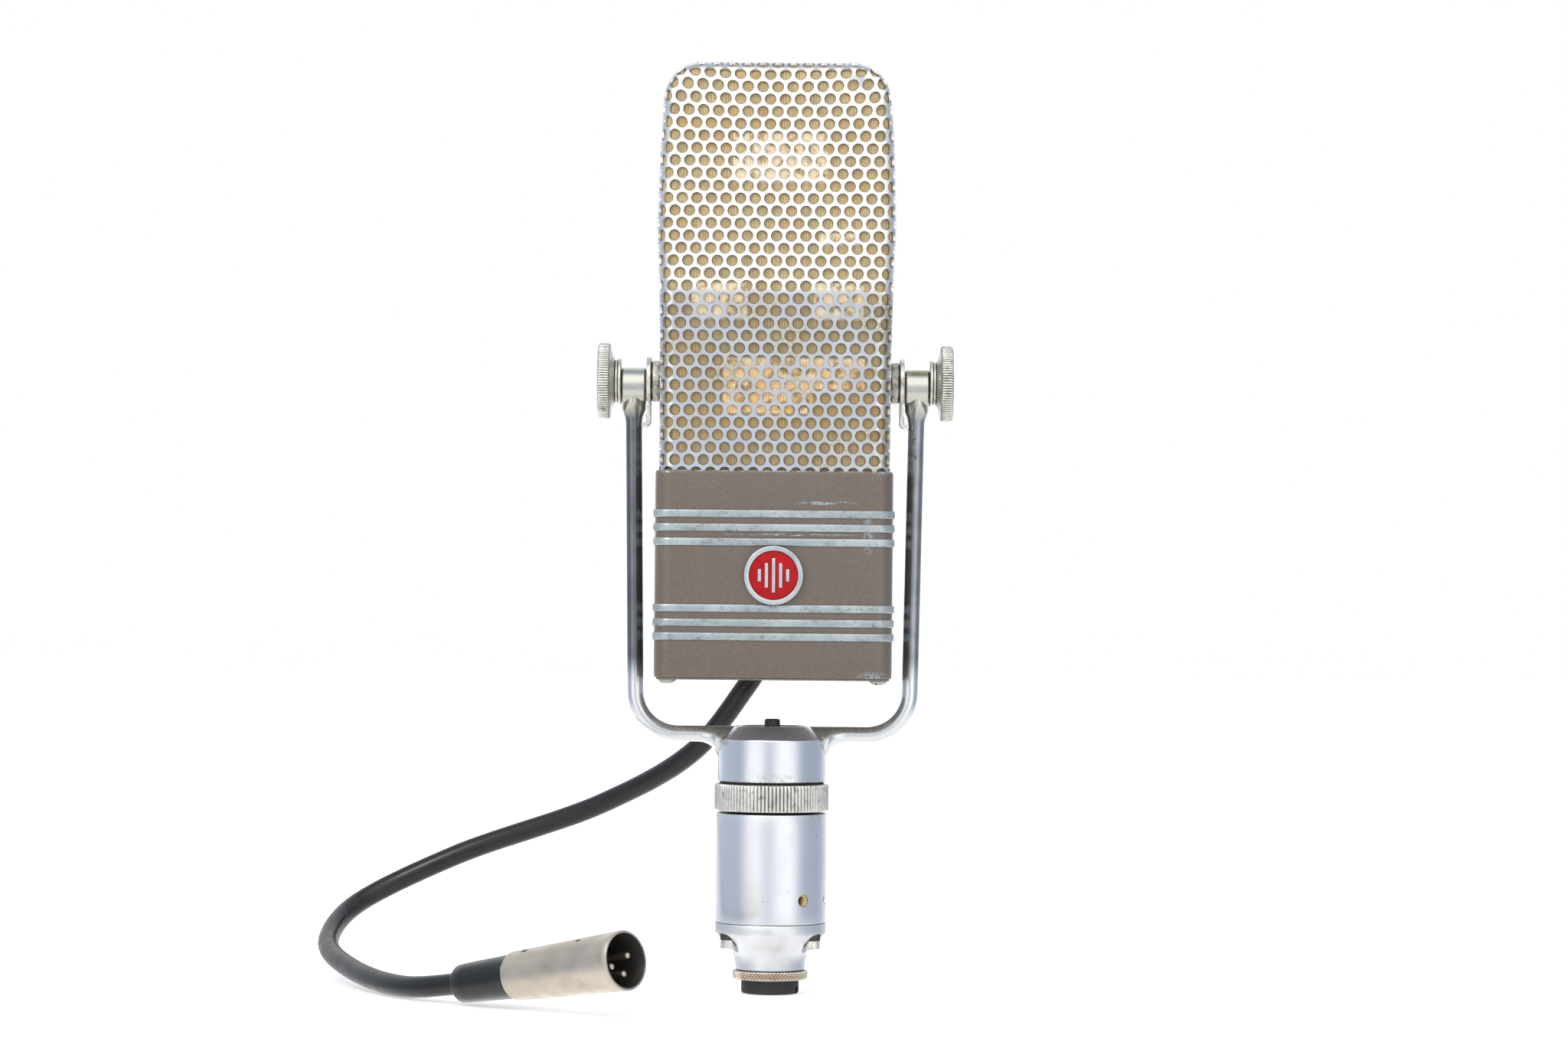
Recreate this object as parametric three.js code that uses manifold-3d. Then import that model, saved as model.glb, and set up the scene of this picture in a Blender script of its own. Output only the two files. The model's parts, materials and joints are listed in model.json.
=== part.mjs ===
// Ribbon microphone on a fork yoke, with its swivel stand mount and its captive cable.
// Units are millimetres. +Z is up, the front of the microphone faces -Y, and the origin is the
// centre of the bottom face of the stand plug, on the vertical swivel axis.

import * as THREE from 'three';
import { mergeVertices } from 'three/addons/utils/BufferGeometryUtils.js';
import Module from 'manifold-3d';

const wasm = await Module();
wasm.setup();

// ---- Driving dimensions ----

const INCH = 25.4;
const FIT = 0.3; // clearance between neighbouring pieces
const ROUND = 32; // facets of a large turned part
const SMALL_ROUND = 14; // facets of a screw, pin or stud
const CORNER_STEPS = 3; // facets of a rounded corner

// Stand mount, from the bottom up
const PLUG_R = 0.375 * INCH;
const PLUG_SHOWN = 4.8;
const PLUG_TOP = 14;
const STAND_RING_R = 12.45;
const STAND_RING_H = 2.8;
const COLLAR_BOTTOM = PLUG_SHOWN + STAND_RING_H + FIT;
const COLLAR_FLANGE_Z = 20;
const SLEEVE_R = 0.72 * INCH;
const SLEEVE_BORE_R = 11.5;
const SLEEVE_Z = [23.6, 59.7];
const SIDE_HOLE_R = 1.85;
const SIDE_HOLE_Z = 31.5;
const SIDE_HOLE_AZIMUTHS = [36, 76]; // degrees round from the front, towards +X
const COLLAR_SCREW_CIRCLE_R = 15.9;
const COLLAR_SCREWS = [['left', -60], ['right', 60], ['rear', 180]]; // degrees round from the front
const COLLAR_POCKET_R = 3.4;
const LOCK_RING_R = 18.9;
const LOCK_RING_BORE_R = 14.3;
const LOCK_RING_Z = [60.4, 69.3];
const FRICTION_WASHER_Z = [69.4, 69.9];

// Yoke
const HUB_R = 17.9;
const HUB_Z = [70.1, 88.4];
const HUB_SHOULDER_Z = 84.6;
const HUB_BORE_R = 9.3;
const HUB_RECESS_R = 11;
const HUB_RECESS_Z = 86;
const ROD_R = 2.65;
const BAR_Z = 85.6;
const BEND_R = 14.3;
const ARM_FOOT_X = 45.5;
const ARM_TOP_X = 47;
const BOSS_R = 6.3;
const BOSS_DROP = 1.8; // the boss sits this far below the tilt axis
const BOSS_X = [43, 51];

// Tilt pivot, sizes along X measured from the middle plane
const PIVOT_Z = 202.3;
const STUD_R = 3.2;
const STUD_X = [30, 56];
const NUT_X = [38.2, 41];
const NUT_ACROSS_CORNERS_R = 7.6;
const LOCK_PLATE_X = [41.2, 42.7];
const LOCK_PLATE_R = 8;
const LOCK_PLATE_REACH = 15.5;
const WASHER_R = 7.6;
const WASHER_X = [51.2, 53.2];
const KNOB_R = 0.4925 * INCH;
const KNOB_X = [53.4, 58.8];
const KNOB_DISC_W = 4;

// Lower case
const CASE_HALF_W = 38.8;
const CASE_HALF_D = 28.5;
const CASE_Z = [104.6, 172.2];
const CASE_WALL = 0.8;
const CASE_CORNER_R = 5.5;
const BAND_H = 2.7;
const BAND_PROUD = 0.6;
const BAND_CENTRES_Z = [118.1, 122.6, 127.3, 148.9, 153.6, 158.1];
const PLATE_T = 0.6;
const POST_X = 34.4;
const POST_Y = 24;
const POST_R = 3.5;
const PLATE_SCREW_R = 1.5;

// Emblem, on the front of the case
const EMBLEM_Z = 138.1;
const EMBLEM_R = 9.65;
const EMBLEM_FACE_R = 8.05;
const EMBLEM_BAR_HEIGHTS = [4, 8, 11.2, 8, 4];
const EMBLEM_BAR_W = 1.1;
const EMBLEM_BAR_PITCH = 2.3;

// Grille
const GRILLE_Z = [165.5, 307.2];
const GRILLE_CREASE_Z = 231;
const GRILLE_TOP_CORNER_R = 12.5;
const GRILLE_EDGE_R = 5;
const GRILLE_HALF_D = 27.2;
const GRILLE_TOP_HALF_D = 18;
const GRILLE_WAIST_HALF_W = 37.6;
const GRILLE_BELLY_HALF_W = 39.2;
const GRILLE_BELLY_Z = 249;
const GRILLE_BELLY_FALL = 22; // the bulge dies away over this height below the belly
const GRILLE_BELLY_RISE = 46; // and over this height above it
const GRILLE_SHEET = 0.9;
const SCREEN_T = 0.4;

// Ribbon motor inside the grille, magnet and transformer inside the case
const MOTOR_HALF_D = 5;
const RIBBON_HALF_W = 2.3;
const RIBBON_Z = [170, 284];

// Cable and connector
const CABLE_R = 3.5;
const CABLE_EXIT_Z = 117;
const CONNECTOR_REAR = new THREE.Vector3(-98.2, -50, 6.6);
const CONNECTOR_MOUTH = new THREE.Vector3(-44.3, -96, 18.4);
const BOOT_L = 24.3;
const SHELL_REAR_R = 7.8;
const SHELL_MOUTH_R = 9.4;
const SHELL_WALL = 0.9;
const INSERT_DEPTH = 13;
const PIN_CIRCLE_R = 4.2;
const PIN_R = 1.1;
const PIN_ANGLES = [72, 250, 337];

// ---- Materials ----

function finish(color, roughness, metalness) {
  return new THREE.MeshStandardMaterial({ color, roughness, metalness });
}

const paint = finish(0x7d7068, 0.55, 0.15);
const castAluminium = finish(0xb9c0cc, 0.32, 0.9);
const polishedAluminium = finish(0xc4cad4, 0.2, 1);
const nickel = finish(0xb0b0a6, 0.38, 1);
const perforatedSteel = finish(0xc3c8d2, 0.3, 1);
const brassScreen = finish(0xbea06e, 0.5, 0.8);
const brass = finish(0xb08a4a, 0.4, 0.9);
const darkSteel = finish(0x35312e, 0.5, 0.7);
const magnetSteel = finish(0x4a4a4c, 0.6, 0.6);
const ribbonFoil = finish(0xd8dade, 0.25, 1);
const copper = finish(0x9a5b35, 0.45, 0.7);
const fibre = finish(0x5b3a22, 0.8, 0);
const redEnamel = finish(0xc81e23, 0.2, 0);
const blackRubber = finish(0x232325, 0.6, 0);
const connectorNickel = finish(0xb5ada0, 0.4, 1);

// ---- Geometry helpers ----

function toSolid(geometry) {
  const bare = geometry.clone();
  bare.deleteAttribute('normal');
  bare.deleteAttribute('uv');
  const merged = mergeVertices(bare, 1e-4);
  const corners = merged.index.array;
  const triVerts = [];
  for (let i = 0; i < corners.length; i += 3) {
    const [a, b, c] = corners.slice(i, i + 3);
    if (a !== b && b !== c && c !== a) triVerts.push(a, b, c);
  }
  return new wasm.Manifold(new wasm.Mesh({
    numProp: 3,
    vertProperties: merged.attributes.position.array,
    triVerts: new Uint32Array(triVerts),
  }));
}

function toGeometry(solid) {
  const mesh = solid.getMesh();
  const geometry = new THREE.BufferGeometry();
  geometry.setAttribute('position', new THREE.BufferAttribute(mesh.vertProperties, 3));
  geometry.setIndex(new THREE.BufferAttribute(mesh.triVerts, 1));
  geometry.computeVertexNormals();
  return geometry;
}

function join(first, ...others) {
  return toGeometry(others.reduce((solid, other) => solid.add(toSolid(other)), toSolid(first)));
}

function cut(first, ...others) {
  return toGeometry(others.reduce((solid, other) => solid.subtract(toSolid(other)), toSolid(first)));
}

function keepInside(geometry, region) {
  return toGeometry(toSolid(geometry).intersect(toSolid(region)));
}

// A part turned about Z. The profile lists [radius, z] from the bottom up.
function turned(profile, facets = ROUND) {
  const points = profile.map(([r, z]) => new THREE.Vector2(r, z));
  return new THREE.LatheGeometry(points, facets).rotateX(Math.PI / 2);
}

function disc(r, z0, z1, facets = SMALL_ROUND) {
  return turned([[0, z0], [r, z0], [r, z1], [0, z1]], facets);
}

function ringBetween(inner, outer, z0, z1, facets = ROUND) {
  return turned([[inner, z0], [outer, z0], [outer, z1], [inner, z1], [inner, z0]], facets);
}

// Points of a quarter round from angle a0 to a1, in degrees, as [radius, z] pairs
function roundEdge(centreR, centreZ, r, a0, a1, steps = 4) {
  return Array.from({ length: steps + 1 }, (_, i) => {
    const a = THREE.MathUtils.degToRad(a0 + (a1 - a0) * i / steps);
    return [centreR + r * Math.cos(a), centreZ + r * Math.sin(a)];
  });
}

function boxBetween(x, y, z) {
  const box = new THREE.BoxGeometry(x[1] - x[0], y[1] - y[0], z[1] - z[0]);
  return box.translate((x[0] + x[1]) / 2, (y[0] + y[1]) / 2, (z[0] + z[1]) / 2);
}

// Turns a part made about Z so that its axis lies along X
function alongX(geometry) {
  return geometry.rotateY(Math.PI / 2);
}

// Turns a part made about Z so that its axis lies along -Y, with its top towards the front
function towardsFront(geometry) {
  return geometry.rotateX(Math.PI / 2);
}

// A flat shape drawn in (X, Z), extruded to fill y0 to y1
function extrudeAcrossY(shape, y0, y1) {
  const geometry = new THREE.ExtrudeGeometry(shape, { depth: y1 - y0, bevelEnabled: false });
  return geometry.rotateX(Math.PI / 2).translate(0, y1, 0);
}

// A flat shape drawn in (Y, Z), extruded to fill x0 to x1
function extrudeAcrossX(shape, x0, x1) {
  const geometry = new THREE.ExtrudeGeometry(shape, {
    depth: x1 - x0,
    bevelEnabled: false,
    curveSegments: 10,
  });
  const axes = new THREE.Matrix4().makeBasis(
    new THREE.Vector3(0, 1, 0),
    new THREE.Vector3(0, 0, 1),
    new THREE.Vector3(1, 0, 0),
  );
  return geometry.applyMatrix4(axes).translate(x0, 0, 0);
}

function mirroredInX(geometry) {
  const mirrored = toSolid(geometry).mirror([1, 0, 0]);
  return toGeometry(mirrored);
}

function tube(path, radius, steps, sides) {
  const section = new THREE.Shape().absarc(0, 0, radius, 0, 2 * Math.PI, false);
  return new THREE.ExtrudeGeometry(section, {
    extrudePath: path,
    steps,
    curveSegments: sides / 2,
    bevelEnabled: false,
  });
}

// Corner points of a rounded rectangle at one height, going round counter-clockwise
function roundedSection(halfW, halfD, cornerR, z) {
  const points = [];
  const corners = [[1, 1, 0], [-1, 1, 90], [-1, -1, 180], [1, -1, 270]];
  for (const [sx, sy, start] of corners) {
    for (let i = 0; i <= CORNER_STEPS; i++) {
      const a = THREE.MathUtils.degToRad(start + 90 * i / CORNER_STEPS);
      const x = sx * (halfW - cornerR) + cornerR * Math.cos(a);
      const y = sy * (halfD - cornerR) + cornerR * Math.sin(a);
      points.push(new THREE.Vector3(x, y, z));
    }
  }
  return points;
}

// A closed skin over sections that all have the same number of points
function loft(sections) {
  const n = sections[0].length;
  const indices = [];
  for (let level = 0; level < sections.length - 1; level++) {
    for (let i = 0; i < n; i++) {
      const a = level * n + i;
      const b = level * n + (i + 1) % n;
      indices.push(a, b, b + n, a, b + n, a + n);
    }
  }
  const top = (sections.length - 1) * n;
  for (let i = 1; i < n - 1; i++) {
    indices.push(0, i + 1, i);
    indices.push(top, top + i, top + i + 1);
  }
  const geometry = new THREE.BufferGeometry().setFromPoints(sections.flat());
  geometry.setIndex(indices);
  geometry.computeVertexNormals();
  return geometry;
}

const microphone = new THREE.Group();

function add(name, geometry, material, parent = microphone) {
  const mesh = new THREE.Mesh(geometry, material);
  mesh.name = name;
  parent.add(mesh);
  return mesh;
}

const SIDES = [['left', -1], ['right', 1]];

// ---- Stand mount ----

function standPlug() {
  const edge = 0.9;
  const profile = [
    [0, 0],
    ...roundEdge(PLUG_R - edge, edge, edge, -90, 0),
    [PLUG_R, PLUG_TOP],
    [0, PLUG_TOP],
  ];
  const notch = boxBetween([PLUG_R - 1, PLUG_R + 1], [-0.6, 0.6], [-1, 3.2]);
  return cut(turned(profile), notch);
}

// Moves a piece made on the axis to a place on the screws' circle
function atCollarScrew(piece, azimuth) {
  return piece.translate(0, -COLLAR_SCREW_CIRCLE_R, 0).rotateZ(THREE.MathUtils.degToRad(azimuth));
}

function baseCollar() {
  const bore = PLUG_R + FIT;
  const neck = 11.4;
  const body = turned([
    [bore, COLLAR_BOTTOM],
    [neck, COLLAR_BOTTOM],
    [12, 12.3],
    [12.5, 13.7],
    [13.2, 14.7],
    [SLEEVE_R, COLLAR_FLANGE_Z],
    [SLEEVE_R, SLEEVE_Z[0] - 0.2],
    [bore, SLEEVE_Z[0] - 0.2],
    [bore, COLLAR_BOTTOM],
  ]);
  const cuts = [];
  for (const [, azimuth] of COLLAR_SCREWS) {
    cuts.push(atCollarScrew(disc(COLLAR_POCKET_R, COLLAR_BOTTOM - 1, COLLAR_FLANGE_Z, 28), azimuth));
    cuts.push(atCollarScrew(disc(1.9, COLLAR_FLANGE_Z - 1, SLEEVE_Z[0] + 1), azimuth));
  }
  return cut(body, ...cuts);
}

function collarScrew(azimuth) {
  const headR = 2.6;
  const headZ = [15.2, 18.2];
  const shankR = 1.5;
  const shankTop = 28;
  const slotDepth = 0.9;
  const screw = turned([
    [0, headZ[0]],
    [headR, headZ[0]],
    [headR, headZ[1]],
    [shankR, headZ[1]],
    [shankR, shankTop],
    [0, shankTop],
  ], SMALL_ROUND);
  const slot = boxBetween([-0.4, 0.4], [-headR - 1, headR + 1], [headZ[0] - 1, headZ[0] + slotDepth]);
  return atCollarScrew(cut(screw, slot), azimuth);
}

function sleeve() {
  const wall = ringBetween(SLEEVE_BORE_R, SLEEVE_R, ...SLEEVE_Z);
  const cuts = SIDE_HOLE_AZIMUTHS.map((azimuth) => {
    const hole = towardsFront(disc(SIDE_HOLE_R, SLEEVE_BORE_R - 2, SLEEVE_R + 2));
    return hole.translate(0, 0, SIDE_HOLE_Z).rotateZ(THREE.MathUtils.degToRad(azimuth));
  });
  for (const [, azimuth] of COLLAR_SCREWS) {
    cuts.push(atCollarScrew(disc(1.8, SLEEVE_Z[0] - 1, 29), azimuth));
  }
  return cut(wall, ...cuts);
}

// The spindle fills the sleeve, carries the lock ring on its thread and the yoke hub on its top
function spindle() {
  const foot = PLUG_TOP + 4;
  return turned([
    [0, foot],
    [PLUG_R - FIT, foot],
    [PLUG_R - FIT, SLEEVE_Z[0] + FIT],
    [SLEEVE_BORE_R - FIT, SLEEVE_Z[0] + FIT],
    [SLEEVE_BORE_R - FIT, SLEEVE_Z[1] + 0.1],
    [LOCK_RING_BORE_R - FIT, SLEEVE_Z[1] + 0.1],
    [LOCK_RING_BORE_R - FIT, LOCK_RING_Z[1] - 0.4],
    [HUB_BORE_R - FIT, LOCK_RING_Z[1] - 0.4],
    [HUB_BORE_R - FIT, HUB_RECESS_Z - FIT],
    [2.3, HUB_RECESS_Z - FIT],
    [2.3, HUB_RECESS_Z - 14],
    [0, HUB_RECESS_Z - 14],
  ]);
}

function swivelBolt() {
  const seat = HUB_RECESS_Z + 1.6;
  const top = HUB_RECESS_Z + 4.7;
  const headR = 2.6;
  const chamfer = 0.5;
  const bolt = turned([
    [0, HUB_RECESS_Z - 13],
    [2, HUB_RECESS_Z - 13],
    [2, seat],
    [headR, seat],
    [headR, top - chamfer],
    [headR - chamfer, top],
    [0, top],
  ], SMALL_ROUND);
  return cut(bolt, boxBetween([-headR - 1, headR + 1], [-0.45, 0.45], [top - 1.1, top + 1]));
}

function lockRing() {
  const chamfer = 0.5;
  return turned([
    [LOCK_RING_BORE_R, LOCK_RING_Z[0]],
    [LOCK_RING_R - chamfer, LOCK_RING_Z[0]],
    [LOCK_RING_R, LOCK_RING_Z[0] + chamfer],
    [LOCK_RING_R, LOCK_RING_Z[1] - chamfer],
    [LOCK_RING_R - chamfer, LOCK_RING_Z[1]],
    [LOCK_RING_BORE_R, LOCK_RING_Z[1]],
    [LOCK_RING_BORE_R, LOCK_RING_Z[0]],
  ]);
}

add('stand_plug', standPlug(), blackRubber);
add('stand_ring', ringBetween(PLUG_R + FIT, STAND_RING_R, PLUG_SHOWN, PLUG_SHOWN + STAND_RING_H), nickel);
add('base_collar', baseCollar(), castAluminium);
add('sleeve', sleeve(), castAluminium);
add('spindle', spindle(), darkSteel);
add('lock_ring', lockRing(), nickel);
add('friction_washer', ringBetween(HUB_BORE_R + FIT, 17.2, ...FRICTION_WASHER_Z), fibre);
add('swivel_bolt', swivelBolt(), darkSteel);
add('swivel_washer', ringBetween(2.3, HUB_RECESS_R - 0.8, HUB_RECESS_Z + 0.2, HUB_RECESS_Z + 1.3), nickel);
for (const [name, azimuth] of COLLAR_SCREWS) {
  add(`collar_screw_${name}`, collarScrew(azimuth), nickel);
}

// ---- Yoke ----

class ArcInFrontPlane extends THREE.Curve {
  constructor(x, z, radius, startDeg, endDeg) {
    super();
    Object.assign(this, { x, z, radius, startDeg, endDeg });
  }

  getPoint(t, target = new THREE.Vector3()) {
    const a = THREE.MathUtils.degToRad(this.startDeg + (this.endDeg - this.startDeg) * t);
    return target.set(this.x + this.radius * Math.cos(a), 0, this.z + this.radius * Math.sin(a));
  }
}

function yokeRod() {
  const bendX = ARM_FOOT_X - BEND_R;
  const bendZ = BAR_Z + BEND_R;
  const armTop = new THREE.Vector3(ARM_TOP_X, 0, PIVOT_Z - BOSS_DROP);
  const armFoot = new THREE.Vector3(ARM_FOOT_X, 0, bendZ);
  const mirrored = (v) => new THREE.Vector3(-v.x, v.y, v.z);
  const path = new THREE.CurvePath();
  path.add(new THREE.LineCurve3(mirrored(armTop), mirrored(armFoot)));
  path.add(new ArcInFrontPlane(-bendX, bendZ, BEND_R, 180, 270));
  path.add(new THREE.LineCurve3(new THREE.Vector3(-bendX, 0, BAR_Z), new THREE.Vector3(bendX, 0, BAR_Z)));
  path.add(new ArcInFrontPlane(bendX, bendZ, BEND_R, -90, 0));
  path.add(new THREE.LineCurve3(armFoot, armTop));
  return tube(path, ROD_R, 56, 10);
}

function yoke() {
  const hub = turned([
    [0, HUB_Z[0]],
    [HUB_R, HUB_Z[0]],
    [HUB_R, HUB_SHOULDER_Z],
    [HUB_RECESS_R + 0.9, HUB_Z[1]],
    [0, HUB_Z[1]],
  ]);
  const bosses = SIDES.map(([, side]) => {
    const boss = alongX(disc(BOSS_R, ...BOSS_X, 32));
    const placed = boss.translate(0, 0, PIVOT_Z - BOSS_DROP);
    return side > 0 ? placed : placed.rotateZ(Math.PI);
  });
  const solid = join(yokeRod(), hub, ...bosses);
  const hubBore = disc(HUB_BORE_R, HUB_Z[0] - 1, HUB_Z[1] + 1, ROUND);
  const recess = disc(HUB_RECESS_R, HUB_RECESS_Z, HUB_Z[1] + 1, ROUND);
  const pivotBore = alongX(disc(STUD_R + FIT, -70, 70)).translate(0, 0, PIVOT_Z);
  return cut(solid, hubBore, recess, pivotBore);
}

// A washer with a tongue that is bent out to bear on the yoke arm, so that it can't turn
function lockPlate() {
  const neckHalfW = 4.2;
  const lowZ = PIVOT_Z - LOCK_PLATE_REACH;
  const outline = new THREE.Shape();
  const neckAngle = Math.asin(neckHalfW / LOCK_PLATE_R);
  outline.absarc(0, PIVOT_Z, LOCK_PLATE_R, neckAngle - Math.PI / 2, 1.5 * Math.PI - neckAngle, false);
  outline.lineTo(-neckHalfW, lowZ);
  outline.lineTo(neckHalfW, lowZ);
  outline.closePath();
  const plate = extrudeAcrossX(outline, ...LOCK_PLATE_X);
  const tongueEnd = 44;
  const tongueZ = [lowZ - 1.5, lowZ + 0.01];
  const tongue = boxBetween([LOCK_PLATE_X[0], tongueEnd], [-neckHalfW, neckHalfW], tongueZ);
  const bore = alongX(disc(STUD_R + FIT, 30, 60)).translate(0, 0, PIVOT_Z);
  return cut(join(plate, tongue), bore);
}

// ---- Thumb knobs ----

function thumbKnob() {
  const [inner, outer] = KNOB_X;
  const discInner = outer - KNOB_DISC_W;
  const chamfer = 0.5;
  const knob = turned([
    [0, inner],
    [WASHER_R, inner],
    [8.6, inner + 0.5],
    [10.6, discInner],
    [KNOB_R - chamfer, discInner],
    [KNOB_R, discInner + chamfer],
    [KNOB_R, outer - chamfer],
    [KNOB_R - chamfer, outer],
    [7.5, outer],
    [7, outer - 0.6],
    [0, outer - 0.6],
  ]);
  return alongX(cut(knob, disc(STUD_R + FIT, inner - 1, STUD_X[1] + FIT))).translate(0, 0, PIVOT_Z);
}

function studNut() {
  const hexagon = disc(NUT_ACROSS_CORNERS_R, ...NUT_X, 6);
  const bore = disc(STUD_R + FIT, NUT_X[0] - 1, NUT_X[1] + 1);
  return alongX(cut(hexagon, bore)).translate(0, 0, PIVOT_Z);
}

function knobWasher() {
  return alongX(ringBetween(STUD_R + FIT, WASHER_R, ...WASHER_X)).translate(0, 0, PIVOT_Z);
}

function pivotStud() {
  return alongX(disc(STUD_R, ...STUD_X)).translate(0, 0, PIVOT_Z);
}

const pivotPieces = [
  ['lock_plate', lockPlate, nickel],
  ['thumb_knob', thumbKnob, nickel],
  ['stud_nut', studNut, nickel],
  ['knob_washer', knobWasher, nickel],
  ['pivot_stud', pivotStud, darkSteel],
];

add('yoke', yoke(), polishedAluminium);
for (const [sideName, side] of SIDES) {
  for (const [name, make, material] of pivotPieces) {
    const geometry = make();
    add(`${name}_${sideName}`, side > 0 ? geometry : mirroredInX(geometry), material);
  }
}

// ---- Lower case ----

function caseSections() {
  const level = (z, proud) => roundedSection(
    CASE_HALF_W + proud,
    CASE_HALF_D + proud,
    CASE_CORNER_R + proud,
    z,
  );
  const sections = [level(CASE_Z[0], 0)];
  for (const centre of BAND_CENTRES_Z) {
    sections.push(level(centre - BAND_H / 2, 0));
    sections.push(level(centre - BAND_H / 2 + 0.3, BAND_PROUD));
    sections.push(level(centre + BAND_H / 2 - 0.3, BAND_PROUD));
    sections.push(level(centre + BAND_H / 2, 0));
  }
  sections.push(level(CASE_Z[1], 0));
  return sections;
}

function atFourPosts(make) {
  const quarters = [[1, 1], [-1, 1], [-1, -1], [1, -1]];
  return quarters.map(([sx, sy]) => make().translate(sx * POST_X, sy * POST_Y, 0));
}

function lowerCase() {
  const inner = [CASE_HALF_W - CASE_WALL, CASE_HALF_D - CASE_WALL, CASE_CORNER_R - CASE_WALL];
  const cavity = loft([
    roundedSection(...inner, CASE_Z[0] - 1),
    roundedSection(...inner, CASE_Z[1] + 1),
  ]);
  const shell = cut(loft(caseSections()), cavity);
  const posts = atFourPosts(() => disc(POST_R, CASE_Z[0] + FIT, CASE_Z[0] + 14, 16));
  const screwHoles = atFourPosts(() => disc(PLATE_SCREW_R + 0.2, CASE_Z[0] - 1, CASE_Z[0] + 11, 16));
  const cableHole = towardsFront(disc(5.3, -CASE_HALF_D - 3, -CASE_HALF_D + 3, 24));
  const emblemHole = towardsFront(disc(1.5, CASE_HALF_D - 3, CASE_HALF_D + 3, 16));
  return cut(
    join(shell, ...posts),
    ...screwHoles,
    cableHole.translate(0, 0, CABLE_EXIT_Z),
    emblemHole.translate(0, 0, EMBLEM_Z),
  );
}

function basePlate() {
  const z = [CASE_Z[0] - 0.05 - PLATE_T, CASE_Z[0] - 0.05];
  const size = [CASE_HALF_W - 0.7, CASE_HALF_D - 0.7, CASE_CORNER_R - 0.7];
  const holes = atFourPosts(() => disc(PLATE_SCREW_R + 0.2, z[0] - 1, z[1] + 1, 16));
  return cut(loft([roundedSection(...size, z[0]), roundedSection(...size, z[1])]), ...holes);
}

function plateScrew() {
  const headTop = CASE_Z[0] - 0.05 - PLATE_T - 0.05;
  const headR = 2.9;
  const headH = 1.3;
  const shankTop = headTop + 10;
  const quarter = roundEdge(0, headTop, 1, -90, 0, 5);
  const dome = quarter.map(([r, z]) => [r * headR, headTop + (z - headTop) * headH]);
  return turned([...dome, [PLATE_SCREW_R, headTop], [PLATE_SCREW_R, shankTop], [0, shankTop]], 16);
}

// ---- Emblem: a plated rim and level bars round red enamel, standing on the front of the case ----

function emblemBars(grow, z0, z1) {
  return EMBLEM_BAR_HEIGHTS.map((height, i) => {
    const x = (i - (EMBLEM_BAR_HEIGHTS.length - 1) / 2) * EMBLEM_BAR_PITCH;
    const halfW = EMBLEM_BAR_W / 2 + grow;
    const halfH = height / 2 + grow;
    return boxBetween([x - halfW, x + halfW], [-halfH, halfH], [z0, z1]);
  });
}

function emblemBadge() {
  const back = FIT;
  const seat = BAND_PROUD + 0.1;
  const rim = turned([
    [0, -2.4],
    [1.3, -2.4],
    [1.3, back],
    [EMBLEM_FACE_R + 1, back],
    [EMBLEM_FACE_R + 1, seat],
    [EMBLEM_R, seat],
    [EMBLEM_R, 1.6],
    [EMBLEM_R - 0.5, 2],
    [EMBLEM_FACE_R + 0.3, 2],
    [EMBLEM_FACE_R, 1.6],
    [EMBLEM_FACE_R, 0.9],
    [0, 0.9],
  ]);
  return join(rim, ...emblemBars(0, 0.8, 1.75));
}

function emblemEnamel() {
  return cut(disc(EMBLEM_FACE_R - 0.1, 1, 1.5, ROUND), ...emblemBars(0.1, 0, 3));
}

function onCaseFront(geometry) {
  return towardsFront(geometry).translate(0, -CASE_HALF_D, EMBLEM_Z);
}

add('lower_case', lowerCase(), paint);
add('base_plate', basePlate(), darkSteel);
atFourPosts(plateScrew).forEach((geometry, i) => add(`plate_screw_${i + 1}`, geometry, nickel));
add('emblem_badge', onCaseFront(emblemBadge()), polishedAluminium);
add('emblem_enamel', onCaseFront(emblemEnamel()), redEnamel);

// ---- Grille and its woven screen, each in a front and a rear half ----

function grilleHalfWidth(z) {
  const bulge = GRILLE_BELLY_HALF_W - GRILLE_WAIST_HALF_W;
  const above = z - GRILLE_BELLY_Z;
  if (above < 0) return GRILLE_WAIST_HALF_W + bulge * Math.exp(above / GRILLE_BELLY_FALL);
  return GRILLE_BELLY_HALF_W - bulge * (above / GRILLE_BELLY_RISE) ** 2;
}

function grilleHalfDepth(z) {
  if (z <= GRILLE_CREASE_Z) return GRILLE_HALF_D;
  const u = (z - GRILLE_CREASE_Z) / (GRILLE_Z[1] - GRILLE_CREASE_Z);
  return GRILLE_HALF_D + (GRILLE_TOP_HALF_D - GRILLE_HALF_D) * u;
}

// How far a round edge of the given radius has drawn in at a height above its start
function drawnIn(radius, height) {
  return radius - Math.sqrt(Math.max(0, radius * radius - height * height));
}

// The head's outer skin, made smaller all over by inset
function headSkin(inset, lowZ) {
  const top = GRILLE_Z[1] - inset;
  const cornerR = GRILLE_TOP_CORNER_R - inset;
  const edgeR = GRILLE_EDGE_R - inset;
  const heights = [lowZ, 215, GRILLE_CREASE_Z, GRILLE_BELLY_Z, 275, top - cornerR];
  for (const a of [25, 45, 60, 75, 90]) {
    heights.push(top - cornerR + cornerR * Math.sin(THREE.MathUtils.degToRad(a)));
  }
  return loft(heights.map((z) => {
    const halfW = grilleHalfWidth(z) - inset - drawnIn(cornerR, Math.max(0, z - (top - cornerR)));
    const halfD = grilleHalfDepth(z) - inset - drawnIn(edgeR, Math.max(0, z - (top - edgeR)));
    return roundedSection(halfW, halfD, edgeR, z);
  }));
}

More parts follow.
